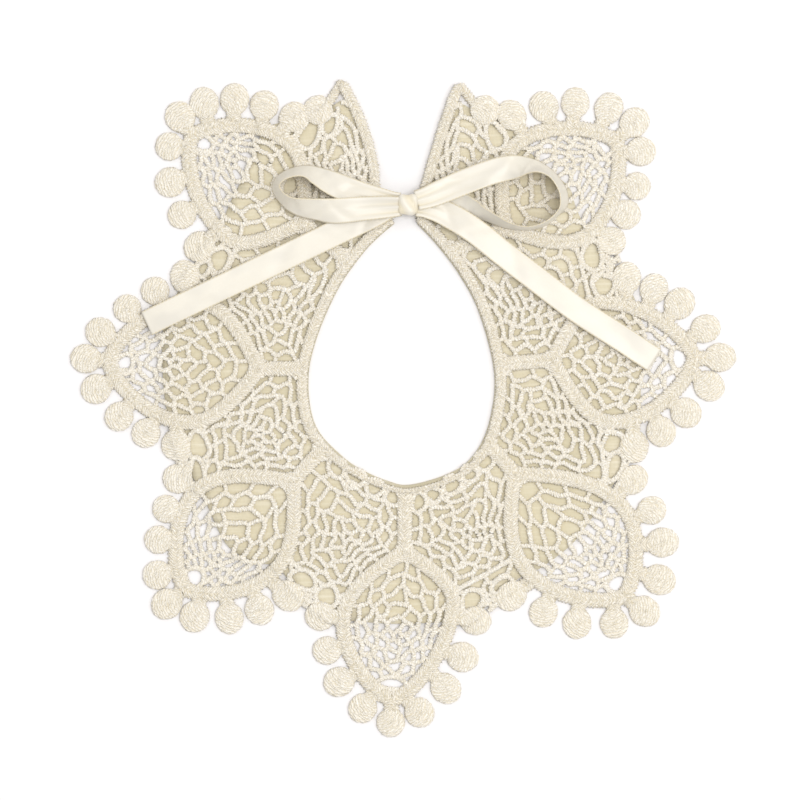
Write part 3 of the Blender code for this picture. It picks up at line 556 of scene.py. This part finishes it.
def cellWalls(index):  # the neck part and the valley part of the net beside two petals
    half = laceBand["width"] / 2 - 0.8
    near, far, waist, rim, cut = [], [], [], [], [0, len(neckLine) - 1]
    neighbours = ((index - 1, "end", leftLine, leftEndPicot, 0), (index, "start", rightLine, rightEndPicot, 1))
    for number, side, end, endPicot, place in neighbours:
        if 0 <= number < len(petals):
            petal = petals[number]
            cut[place], corner = neckwards(petal["neck"])
            line = petalSide(petal, side)
            near += [(np.array([corner, petal["base"]]), half), (line[:laceNet["waist"] + 1], half)]
            pair = list(picotsOf(petal)[-2:] if place == 0 else picotsOf(petal)[:2])
            rim.extend(pair)
            far.append((line[laceNet["waist"] - 1:], half))
            far += [(np.array([centre, centre]), picotLook["radius"] - 0.3) for centre in pair]
            waist.append(line[laceNet["waist"]])
        else:
            near.append((end, laceBand["neckWidth"] - 0.6))
            far.append((end, laceBand["neckWidth"] - 0.6))
            other = petals[0] if place == 0 else petals[-1]
            facing = petalSide(other, "start" if place == 0 else "end")[laceNet["waist"]]
            waist.append(end[int(np.argmin(np.linalg.norm(end - facing, axis=1)))])
            far.append((np.array([endPicot, endPicot]), picotLook["radius"] - 0.3))
            rim.extend([end[-1], np.array(endPicot)] if place == 0 else [np.array(endPicot), end[-1]])
    near.append((neckLine[cut[0]:cut[1] + 1], laceBand["neckWidth"] - 0.2))
    hidden = [wallsOf([(line, keep + 0.15) for line, keep in lines]) for lines in (near, far)]
    near.append((np.array(waist), 0.0))
    far += [(np.array(waist), 0.0), (np.array(rim), 0.6)]
    return wallsOf(near), wallsOf(far), (np.mean(waist, axis=0) + np.mean(rim, axis=0)) / 2, hidden


def netCords(centre, rounds, walls, seed):
    s = laceNet
    centre = np.array(centre, float)
    rng = np.random.RandomState(seed)
    angles = np.linspace(0, 2 * math.pi, s["angles"], endpoint=False)
    spokes = np.stack([np.cos(angles), np.sin(angles)], axis=1)
    radii = np.full(len(angles), 0.3)
    for _ in range(40):
        radii = np.minimum(radii + 0.95 * np.maximum(room(centre + radii[:, None] * spokes, walls), 0.0), s["reach"])
    for _ in range(3):
        radii = np.minimum(radii + 0.6, (np.roll(radii, 1) + 2 * radii + np.roll(radii, -1)) / 4)
    turns = np.concatenate([[0.0], np.cumsum(radii ** 0.6)])
    turns /= turns[-1]
    angles, radii = np.append(angles, 2 * math.pi), np.append(radii, radii[0])

    def at(turn, share):
        angle = np.interp(np.asarray(turn) % 1.0, turns, angles)
        radius = share * np.interp(angle, angles, radii)
        return centre + radius[..., None] * np.stack([np.cos(angle), np.sin(angle)], axis=-1)

    mean = radii.mean()
    shares = [(k + 0.45) / (rounds + 0.45) for k in range(rounds + 1)]
    counts, phases = [], []
    for k in range(1, rounds + 1):
        counts.append(max(5, round(math.pi * mean * (shares[k - 1] + shares[k]) / s["spacing"])))
        phases.append(rng.uniform(0, 1))
    cords = []
    for k in range(rounds + 1):  # the rounds, pulled out and in where the cross cords meet them
        turn = np.linspace(0, 1, 24 * max(6, int(mean * shares[k])) + 1)
        pull = np.zeros(len(turn))
        if k < rounds:
            pull += np.cos(2 * math.pi * (counts[k] * turn - phases[k]))
        if k > 0:
            pull -= np.cos(2 * math.pi * (counts[k - 1] * turn - phases[k - 1]))
        pull *= s["pull"] * (1 if 0 < k < rounds else 0.5)
        line = at(turn, shares[k])
        outward = line - centre
        outward /= np.maximum(np.linalg.norm(outward, axis=1), 1e-6)[:, None]
        cords.append((line + outward * pull[:, None] if k < rounds else line, True))
    for k in range(1, rounds + 1):
        for j in range(counts[k - 1]):
            turn = (j + phases[k - 1] + rng.uniform(-0.10, 0.10)) / counts[k - 1]
            lean = rng.uniform(-1, 1) * s["lean"] / counts[k - 1]
            steps = np.linspace(0, 1, 6)
            cords.append((at(turn + lean * steps, shares[k - 1] + (shares[k] - shares[k - 1]) * steps), False))
    return cords


def unevenRound(angles, phase):
    return 1 + 0.07 * np.cos(3 * angles + phase) + 0.05 * np.cos(2 * angles - 2 * phase)


def clearOf(line, window):  # the line led round a window in place of across it
    turn = math.radians(window["turn"])
    axes = np.array(((math.cos(turn), math.sin(turn)), (-math.sin(turn), math.cos(turn))))
    sizes = np.array((window["long"], window["short"])) + windowRoom
    local = (line - (window["x"], window["y"])) @ axes.T / sizes
    edge = unevenRound(np.arctan2(local[:, 1], local[:, 0]), window["x"])
    reach = np.linalg.norm(local, axis=1) / edge
    local *= np.where(reach < 1, (0.97 + 0.03 * reach) / np.maximum(reach, 1e-6), 1.0)[:, None]
    return local * sizes @ axes + (window["x"], window["y"])


def windowRim(window):
    angles = np.linspace(0, 2 * math.pi, 40)
    turn = math.radians(window["turn"])
    edge = unevenRound(angles, window["x"])
    across = (window["long"] + windowRoom) * np.cos(angles) * edge
    up = (window["short"] + windowRoom) * np.sin(angles) * edge
    return np.column_stack([window["x"] + across * math.cos(turn) - up * math.sin(turn),
                            window["y"] + across * math.sin(turn) + up * math.cos(turn)])


def netParts(cords, seed, hidden=None):  # cords led round the windows, without what lies under the bands
    parts = []
    for number, (line, closed) in enumerate(cords):
        line = evenly(line, 0.4)
        for window in windows:
            line = clearOf(line, window)
        radius = laceNet["cordRadius"] * (1.0 if closed else laceNet["crossRadius"])
        height = laceNet["height"] - (0.0 if closed else laceNet["crossDrop"])
        shown = np.ones(len(line), bool) if hidden is None else room(line, hidden) > 0
        whole = shown.all()
        for run in np.split(np.arange(len(line)), np.flatnonzero(np.diff(shown.astype(int))) + 1):
            if shown[run[0]] and len(run) > 3:
                parts.append(cordPart(line[run], radius, height, laceNet["pitch"], 6, seed + number,
                                      laceNet["flatten"], closed and whole))
    return parts


def bandPart(line, width, seed, closed=False, ends=(1.0, 1.0)):
    # a band of slanting stitches in two rows, crowned, with a bumpy edge
    s = laceBand
    line = evenly(line, s["step"])
    if closed:
        line = line[:-1]
    if line.shape[1] > 2:  # a width of its own at each point
        line, width = line[:, :2], line[:, 2]
    count = len(line)
    side = leftHand(line, closed)
    along = np.arange(count) * s["step"]
    drift = 0.35 * wander(line, 9, seed)
    low = seatHeight(line)
    taper = np.ones(count)
    if not closed:
        taper = np.interp(along, [0, 1.2, along[-1] - 1.2, along[-1]], [ends[0], 1, 1, ends[1]])
    rows, grooves, uv = [], [], []
    rng = np.random.RandomState(500 + seed)
    for k in range(s["across"] + 1):
        u = 2 * k / s["across"] - 1
        phase = (along + drift) / s["stitch"] + 0.75 * abs(u) + (0.5 if u > 0 else 0.0)
        ridge = np.abs(np.sin(math.pi * phase)) ** 0.8
        crown = s["edge"] + (s["top"] - s["edge"]) * (1 - abs(u) ** 2.4)
        crown -= 0.28 * math.exp(-(u / 0.13) ** 2)
        height = crown - 0.30 * (1 - ridge) * (1 - 0.4 * abs(u)) + rng.uniform(-1, 1, count) * s["uneven"]
        reach = u * width / 2 * taper + rng.uniform(-1, 1, count) * s["ragged"] * (1.0 if abs(u) > 0.9 else 0.4)
        if abs(u) > 0.9:
            reach += u * s["teeth"] * np.cos(2 * math.pi * phase)
        rows.append(np.column_stack([line + side * reach[:, None], low + height]))
        run = np.minimum(along, count * s["step"] - along) if closed else along
        thread = run + drift + s["slant"] * abs(u) * width / 2
        uv.append(np.column_stack([u * width / 2 * np.ones(count), thread]) * mm + 0.019 * seed)
        # painted shade: a little everywhere, more between the stitches, along the middle and at random pits
        pits = 0.62 * (rng.uniform(0, 1, count) > 0.83)
        grooves.append(0.08 + np.clip(1.0 - ridge, 0, 1) * 0.7 + 0.3 * math.exp(-(u / 0.15) ** 2) + pits)
    for u in (0.9, -0.9):
        rows.append(np.column_stack([line + side * (u * width / 2 * taper)[:, None], low + s["low"]]))
        uv.append(np.column_stack([u * width / 2 * np.ones(count), thread]) * mm + 0.019 * seed)
        # painted shade: full shade on the low rows under the band's edges
        grooves.append(np.full(count, 1.0))
    return ringPart(rows, grooves, uv, closed)


def picotPart(centre, seed, squeeze=1.0, turn=0.0, longer=0.0):
    # a round button of stitches laid in a spiral
    s = picotLook
    rng = np.random.RandomState(seed)
    sides = s["sides"]
    radius = s["radius"] * rng.uniform(0.95, 1.03) + longer
    start = rng.uniform(0, 6.28)
    angles = np.arange(sides) * 2 * math.pi / sides
    verts, groove = [], []
    levels = np.linspace(1.0, 0.05, 2 * s["rounds"])
    for n, level in enumerate(levels):
        spiral = level * s["rounds"] + (angles + start) / (2 * math.pi)
        ridge = 0.5 + 0.5 * np.cos(2 * math.pi * spiral)
        threads = 0.5 + 0.5 * np.cos(angles * 22 + 2.0 * level * s["rounds"])
        reach = radius * level + rng.uniform(-1, 1, sides) * (0.16 if n < 2 else 0.05)
        dome = s["rim"] + (s["top"] - s["rim"]) * (1 - level ** 2.6)
        height = dome + s["ridge"] * ridge + 0.05 * threads + rng.uniform(-0.12, 0.12, sides)
        if n == 0:
            height = np.full(sides, s["rim"] - 0.25)
        x, y = np.cos(angles) * reach, np.sin(angles) * reach * squeeze
        turned = (x * math.cos(turn) - y * math.sin(turn), x * math.sin(turn) + y * math.cos(turn))
        verts.append(np.column_stack([np.stack(turned, axis=1) + centre, height]))
        # painted shade: darker in the spiral's troughs, between the threads and at random pits
        pits = 0.5 * (rng.uniform(0, 1, sides) > 0.84)
        groove.append(np.clip(0.3 * (1 - ridge) + 0.08 * (1 - threads) + pits, 0, 1))
    base = np.column_stack([(verts[0][:, :2] - centre) * 0.94 + centre, np.full(sides, s["low"])])
    verts = [base] + verts
    # painted shade: full shade on the base ring underneath
    groove = [np.ones(sides)] + groove
    verts = np.vstack(verts)
    verts[:, 2] += seatHeight(verts[:, :2])
    rings = len(levels) + 1
    spread = s["threadCentre"] * rng.uniform(1.0, 1.6)
    lean = turn + rng.uniform(-0.9, 0.9)
    axis = np.array((math.cos(lean), math.sin(lean)))
    away = (verts[:, :2] - centre + spread * axis) @ np.array((axis, (-axis[1], axis[0]))).T
    swept = np.arctan2(away[:, 1], away[:, 0]) * spread
    uv = np.column_stack([swept, np.linalg.norm(away, axis=1)]) * mm + 0.023 * seed
    faces = []
    for n in range(rings - 1):
        here, there = n * sides, (n + 1) * sides
        faces += [(here + k, here + (k + 1) % sides, there + (k + 1) % sides, there + k) for k in range(sides)]
    faces += [tuple(range(sides))[::-1], tuple(range((rings - 1) * sides, rings * sides))]
    return {"verts": verts, "faces": faces, "groove": np.concatenate(groove), "uv": uv}


def neckBand():  # the middle and the width of the band round the neck, thin and set back at the front
    s = laceBand
    front = eased(np.clip(1.0 - (neckLine[:, 1] - neckLine[:, 1].min()) / s["frontReach"], 0.0, 1.0))
    width = s["neckWidth"] + (s["frontWidth"] - s["neckWidth"]) * front
    return np.column_stack([shifted(neckLine, 0.4 + 1.0 * front + width / 2), width])


def petalParts(number):
    petal = petals[number]
    loop = petalLoop(petal)
    cords = netCords(petal["netCentre"], laceNet["petalRounds"], wallsOf([(loop, 2.0)]), 40 + number)
    parts = netParts(cords, 1000 * number, wallsOf([(loop, 2.2)]))
    parts.append(bandPart(loop, laceBand["width"], number, True))
    _, corner = neckwards(petal["neck"])
    base = np.array(petal["base"])
    parts.append(bandPart(np.array([corner + (base - corner) * 0.12, base]), laceBand["width"], 20 + number))
    return parts


def petalPicots(number):
    loop = petalLoop(petals[number])
    parts = []
    for k, centre in enumerate(picotsOf(petals[number])):
        nearest = loop[int(np.argmin(np.linalg.norm(loop - centre, axis=1)))]
        away = np.linalg.norm(centre - nearest)
        outward = (centre - nearest) / away
        if away > picotLook["radius"] + 2.0:
            neck = np.array([centre - 2.0 * outward, nearest + 1.8 * outward])
            parts.append(bandPart(neck, laceBand["neckOfPicot"], 90 + k))
        longer = float(np.clip((away - 8.0) * 0.22, 0.0, 0.9))  # those far from the band are eggs
        turn = math.atan2(outward[1], outward[0])
        squeeze = picotLook["radius"] / (picotLook["radius"] + longer)
        parts.append(picotPart(centre - longer * outward, 10 * number + k, squeeze, turn, longer))
    return parts


def cellParts(index):
    near, far, valley, hidden = cellWalls(index)
    inner = netCords(cellCentres[index], laceNet["cellRounds"], near, 60 + index)
    outer = netCords(valley, laceNet["valleyRounds"], far, 80 + index)
    return netParts(inner, 9000 + 400 * index, hidden[0]) + netParts(outer, 9200 + 400 * index, hidden[1])


def endParts(line, picot, away, onRight):
    # the plain stitched edge beside the back opening, up to its point, and the picot after it
    inward = laceBand["neckWidth"] / 2 * (1 if onRight else -1)
    middle = shifted(line[:-6], inward)
    parts = [bandPart(middle, laceBand["neckWidth"], 31, ends=(1.0, 0.35))]
    apex = line[-6]
    parts.append(bandPart(np.array([apex + (0, -1.2), np.array(picot) + away]), 3.6, 33, ends=(0.5, 1.0)))
    return parts


def lacePiece(name, parts):
    print(name, sum(len(face) - 2 for part in parts for face in part["faces"]), "triangles")
    return makePiece(name, parts, stitches)


def makeLace(name, petalNumbers, cellNumbers, half):
    parts = [part for number in petalNumbers for part in petalParts(number)]
    parts += [part for number in cellNumbers for part in cellParts(number)]
    side = -1 if half == "left" else 1
    parts += netParts([(windowRim(window), True) for window in windows if window["x"] * side > 0], 7000)
    edge = neckBand()
    lowest = int(np.argmin(neckLine[:, 1]))
    if half == "left":
        parts.append(bandPart(edge[:lowest + 1], laceBand["neckWidth"], 35))
        parts += endParts(leftLine, leftEndPicot, np.array((3.0, 1.0)), False)
    else:
        parts.append(bandPart(edge[lowest:], laceBand["neckWidth"], 36))
        parts += endParts(rightLine, rightEndPicot, np.array((-3.0, 1.0)), True)
    return lacePiece(name, parts)


def makePicots(name, petalNumbers, endPicot):
    parts = [part for number in petalNumbers for part in petalPicots(number)]
    parts.append(picotPart(np.array(endPicot), 77))
    return lacePiece(name, parts)


laceLeft = makeLace("laceLeft", (0, 1, 2, 3), (0, 1, 2, 3), "left")
laceRight = makeLace("laceRight", (4, 5, 6), (4, 5, 6, 7), "right")
picotsLeft = makePicots("picotsLeft", (0, 1, 2, 3), leftEndPicot)
picotsRight = makePicots("picotsRight", (4, 5, 6), rightEndPicot)
print("lace made")


# the ribbon

ribbonLook = {
    "thickness": 0.32, "step": 0.8, "across": 14, "cup": 0.25, "pleat": 0.35, "selvedge": 0.10, "intoKnot": 0.9,
    "selvedgeFrom": 0.93, "ripple": 0.10, "gather": 7.0,
}
ribbonRows = {  # the middle in plan, its height, the lean of its left-hand edge, its width
    "ribbonLeftTail": (
        (-1.9, 80.5, 4.5, 0, 8.4), (-5.5, 79.7, 4.5, 0, 9.0), (-11.0, 77.0, 4.5, 0, 10.0),
        (-25.0, 70.4, 4.5, 0, 10.2), (-55.0, 56.0, 4.5, 0, 10.2), (-80.0, 44.0, 4.5, 0, 10.2),
        (-92.0, 38.3, 4.5, 0, 10.2), (-97.0, 35.9, 4.3, 0, 10.2), (-102.0, 33.5, 3.9, 0, 10.2)),
    "ribbonLeftLoop": (
        (-1.9, 81.7, 5.8, 0, 8.0), (-6.0, 82.3, 5.8, 0, 8.8), (-18.4, 85.7, 5.8, 2, 10.0),
        (-24.8, 88.1, 6.1, 12, 10.2), (-29.6, 90.1, 6.7, 25, 10.2), (-38.8, 93.9, 8.8, 61, 10.2),
        (-46.6, 92.3, 9.2, 70, 10.2), (-50.2, 87.8, 9.2, 73, 10.2), (-46.4, 82.3, 9.2, 68, 10.2),
        (-40.4, 79.9, 8.2, 47, 10.2), (-33.6, 78.9, 7.4, 34, 10.2), (-26.4, 78.3, 7.5, 16, 10.2),
        (-14.8, 79.3, 7.1, 0, 9.6), (-6.0, 79.9, 7.1, 0, 8.8), (-1.9, 80.1, 7.1, 0, 8.0)),
    "ribbonRightLoop": (
        (6.7, 82.7, 7.1, 0, 8.0), (10.0, 83.7, 7.1, 0, 8.8), (14.0, 85.3, 7.1, 0, 9.6),
        (22.8, 89.0, 7.3, -5, 10.2), (33.2, 93.0, 7.3, -7, 10.2), (42.2, 95.4, 6.9, -10, 10.2),
        (52.4, 95.9, 8.7, -56, 10.2), (59.2, 92.9, 9.2, -71, 10.2), (63.6, 86.9, 9.2, -71, 10.2),
        (64.4, 81.5, 9.2, -72, 10.2), (62.0, 77.3, 9.3, -83, 10.2), (56.8, 73.1, 9.3, -83, 10.2),
        (49.6, 71.3, 9.3, -84, 10.2), (42.4, 72.5, 9.2, -78, 10.2), (37.2, 74.8, 8.7, -70, 10.2),
        (32.0, 77.3, 8.0, -62, 10.2), (27.0, 79.6, 6.6, -40, 10.2), (23.5, 80.6, 5.4, -16, 10.2),
        (17.2, 80.7, 4.6, -5, 10.0), (10.4, 80.7, 4.5, 0, 8.8), (6.7, 80.7, 4.5, 0, 8.0)),
    "ribbonRightTail": (
        (6.7, 80.1, 5.8, 0, 8.0), (10.4, 79.7, 5.8, 0, 8.8), (17.2, 77.5, 5.8, 0, 10.0),
        (28.4, 70.8, 5.9, 0, 10.2), (40.8, 61.1, 4.6, 0, 10.2), (53.6, 51.3, 4.5, 0, 10.2),
        (70.0, 38.9, 4.5, 0, 10.2), (88.0, 27.3, 4.5, 0, 10.2), (95.0, 22.6, 4.4, 0, 10.2),
        (100.8, 18.9, 3.9, 0, 10.2)),
}


creaseColumns = ("along", "slant", "wide", "depth")
ribbonCreases = {  # soft troughs and ridges across the ribbon, in millimetres from its start
    "ribbonLeftTail": ((14, 5, 2.6, 0.35), (27, -4, 3.5, -0.24), (52, 5, 5.0, 0.18), (83, -5, 4.0, -0.16)),
    "ribbonLeftLoop": ((13, 5, 2.6, 0.4), (21, -6, 2.8, -0.3), (33, 5, 3.4, 0.28), (66, -6, 3.4, 0.28),
                       (78, 7, 3.2, -0.32), (90, -6, 2.6, 0.34)),
    "ribbonRightLoop": ((12, -5, 2.6, 0.42), (20, 6, 3.0, -0.3), (31, -7, 3.4, 0.34), (44, 6, 3.4, -0.28),
                        (104, 5, 2.6, 0.3)),
    "ribbonRightTail": ((13, -5, 2.8, 0.36), (24, 5, 3.6, -0.26), (45, -6, 4.5, 0.24), (72, 5, 4.5, -0.18)),
}


def makeRibbon(name, looseEnd):
    s = ribbonLook
    creases = [dict(zip(creaseColumns, row)) for row in ribbonCreases[name]]
    rows = np.array(ribbonRows[name], float)
    rows = np.vstack([rows[:1], rows] if looseEnd else [rows[:1], rows, rows[-1:]])
    for end, after in ((0, 1), (-1, -2)):  # the ends at the knot go a little into it
        if end == 0 or not looseEnd:
            into = rows[after, :2] - rows[after + (1 if end == 0 else -1), :2]
            rows[end, :2] += s["intoKnot"] * into / np.linalg.norm(into)
    stations = evenly(curveThrough(rows, 12), s["step"])
    middle = stations[:, :3]
    travel = np.gradient(middle, axis=0)
    travel /= np.linalg.norm(travel, axis=1)[:, None]
    level = np.stack([-travel[:, 1], travel[:, 0], np.zeros(len(travel))], axis=1)
    level /= np.linalg.norm(level, axis=1)[:, None]
    lean = np.radians(stations[:, 3])[:, None]
    across = np.cos(lean) * level + np.sin(lean) * np.array([0.0, 0.0, 1.0])
    across -= (across * travel).sum(axis=1)[:, None] * travel
    across /= np.linalg.norm(across, axis=1)[:, None]
    above = np.cross(travel, across)
    length = np.linalg.norm(np.diff(middle, axis=0), axis=1).sum()
    along = np.linspace(0, length, len(middle))
    fromKnot = along if looseEnd else np.minimum(along, length - along)
    gather = np.exp(-fromKnot / s["gather"])[:, None] * above
    dots = 0.95 - 0.6 * (np.arange(len(along)) % 2)  # the selvedge, darker and lighter by turns
    verts, uv, groove = [], [], []
    for k in range(s["across"] + 1):
        u = 2 * k / s["across"] - 1
        pleats = math.cos(2.5 * math.pi * u + 0.6) + 0.5 * math.cos(5.2 * math.pi * u)
        selvedge = abs(u) > s["selvedgeFrom"]
        lift = s["cup"] * (u * u - 0.4) + (s["selvedge"] if selvedge else 0.0)
        ripple = s["ripple"] * np.sin(along / 6.5 + 2 * u + len(name))[:, None]
        for crease in creases:
            far = (along - crease["along"] - crease["slant"] * u) / crease["wide"]
            ripple = ripple - (crease["depth"] * np.exp(-far ** 2))[:, None]
        offset = above * (lift * 0.5 + ripple) + gather * (s["pleat"] * pleats)
        verts.append(middle + across * (u * stations[:, 4:5] / 2) + offset)
        uv.append(np.column_stack([np.full(len(along), (u + 1) / 2), along * mm]))
        # painted shade in the troughs of the pleats near the knot, and the selvedge's own dotted tone
        groove.append(0.5 * max(0.0, -pleats) * np.exp(-fromKnot / 6.0) + dots * selvedge)
    wide = s["across"] + 1
    faces = []
    for i in range(len(along) - 1):
        here, there = i * wide, (i + 1) * wide
        faces += [(here + k, there + k, there + k + 1, here + k + 1) for k in range(wide - 1)]
    part = {"verts": np.stack(verts, axis=1).reshape(-1, 3), "faces": faces,
            "uv": np.stack(uv, axis=1).reshape(-1, 2), "groove": np.stack(groove, axis=1).ravel()}
    piece = makePiece(name, [part], satin)
    thicken(piece, s["thickness"], 0.0)
    return piece, length * mm


knotLook = {
    "centre": (2.4, 80.9, 6.1), "size": (8.0, 8.8, 5.4), "bevel": 0.0021, "folds": 1.25, "slant": 0.55, "depth": 0.5,
}


def makeKnot():
    # a block rounded all over, then pressed into slanting folds as by the ribbon wound round it
    s = knotLook
    bpy.ops.object.select_all(action="DESELECT")
    where = [(c - p) * mm for c, p in zip(s["centre"], (*planCentre, 0.0))]
    bpy.ops.mesh.primitive_cube_add(size=1.0, location=where, scale=[value * mm for value in s["size"]])
    knot = bpy.context.object
    knot.name = "ribbonKnot"
    bpy.ops.object.mode_set(mode="EDIT")
    bpy.ops.mesh.select_all(action="SELECT")
    bpy.ops.mesh.bevel(offset=s["bevel"], segments=4, profile=0.5, affect="EDGES")
    bpy.ops.mesh.subdivide(number_cuts=2)
    bpy.ops.object.mode_set(mode="OBJECT")
    bpy.ops.object.transform_apply(location=True, rotation=True, scale=True)
    rounding = knot.modifiers.new("round", "SUBSURF")
    rounding.levels = rounding.render_levels = 2
    bpy.ops.object.modifier_apply(modifier="round")
    mesh = knot.data
    count = len(mesh.vertices)
    points = np.zeros(count * 3)
    normals = np.zeros(count * 3)
    mesh.vertices.foreach_get("co", points)
    mesh.vertices.foreach_get("normal", normals)
    points, normals = points.reshape(-1, 3), normals.reshape(-1, 3)
    local = (points - np.array(where)) / mm
    place = local[:, 0] + 1.2 + s["slant"] * local[:, 1] + 0.3 * np.sin(0.8 * local[:, 1])
    wave = np.cos(place * s["folds"] * 2 * math.pi / s["size"][0])
    points -= normals * (s["depth"] * mm * (0.5 - 0.5 * wave) * (1 - np.abs(normals[:, 0]) ** 2))[:, None]
    mesh.vertices.foreach_set("co", points.ravel())
    # painted shade in the troughs of the folds
    setGroove(mesh, np.clip(0.5 - 0.5 * wave, 0, 1) * 0.5)
    wrapped = np.column_stack([local[:, 0] / s["size"][0] + 0.5, (local[:, 1] + local[:, 2]) * mm])
    setUv(mesh, mesh.uv_layers.active, wrapped)
    mesh.materials.clear()
    mesh.materials.append(satin)
    bpy.ops.object.shade_smooth()
    mesh.update()
    knot.select_set(False)
    return knot


ribbons = {name: makeRibbon(name, "Tail" in name) for name in ribbonRows}
knot = makeKnot()
print("ribbon made")


# what each piece is to the frame

stitched = (lining, piping, laceLeft, laceRight, picotsLeft, picotsRight)
for piece in (*stitched, knot, *(ribbon for ribbon, _ in ribbons.values())):
    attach(piece, "root")
for piece in (lining, piping):
    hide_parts("lining")
for piece in (laceLeft, laceRight, picotsLeft, picotsRight):
    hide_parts("lace")
nodeOf = {"ribbonLeftTail": "ribbon_left_tail", "ribbonLeftLoop": "ribbon_left_loop",
          "ribbonRightLoop": "ribbon_right_loop", "ribbonRightTail": "ribbon_right_tail"}
for name, (ribbon, length) in ribbons.items():
    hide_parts(nodeOf[name])
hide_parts("ribbon_knot")


# floor, light and camera

studio = {
    "floor": (0.87, 0.855, 0.86), "world": 0.69, "key": 1.0, "fill": 3.5, "top": 15.5,
    "viewCentre": (-1.2554, 3.026), "viewWidth": 320.0, "cameraHeight": 1.6, "focus": 0.002, "sensor": 36.0,
}

bpy.ops.mesh.primitive_plane_add(size=3.0, location=(0, 0, -0.0002))
floor = bpy.context.object
floor.name = "floor"
bpy.ops.object.transform_apply(location=True)
paper, *_, paperShader = newMaterial("paleFloor")
paperShader.inputs["Base Color"].default_value = (*studio["floor"], 1.0)
paperShader.inputs["Roughness"].default_value = 0.95
floor.data.materials.append(paper)
floor.select_set(False)

world = bpy.data.worlds.new("studio")
bpy.context.scene.world = world
world.use_nodes = True
sky = world.node_tree.nodes["Background"]
sky.inputs["Color"].default_value = (1.0, 1.0, 1.0, 1.0)
sky.inputs["Strength"].default_value = studio["world"]


def softbox(name, place, size, power):
    light = bpy.data.lights.new(name, "AREA")
    light.shape = "DISK"
    light.size = size
    light.energy = power
    lamp = bpy.data.objects.new(name, light)
    bpy.context.scene.collection.objects.link(lamp)
    lamp.matrix_world = Matrix.Translation(place) @ Vector(place).to_track_quat("Z", "Y").to_matrix().to_4x4()


softbox("keyLight", (-0.5, 0.8, 1.1), 0.5, studio["key"])
softbox("fillLight", (0.95, 0.1, 1.2), 0.8, studio["fill"])
softbox("topLight", (0.4, 0.1, 1.85), 0.8, studio["top"])

camera = bpy.data.cameras.new("camera")
view = bpy.data.objects.new("camera", camera)
bpy.context.scene.collection.objects.link(view)
view.location = (studio["viewCentre"][0] * mm, studio["viewCentre"][1] * mm, studio["cameraHeight"])
camera.sensor_width = studio["sensor"]
camera.lens = studio["sensor"] * (studio["cameraHeight"] - studio["focus"]) / (studio["viewWidth"] * mm)
camera.clip_end = 20.0
bpy.context.scene.camera = view
bpy.context.scene.view_settings.view_transform = "Standard"
print("studio ready")
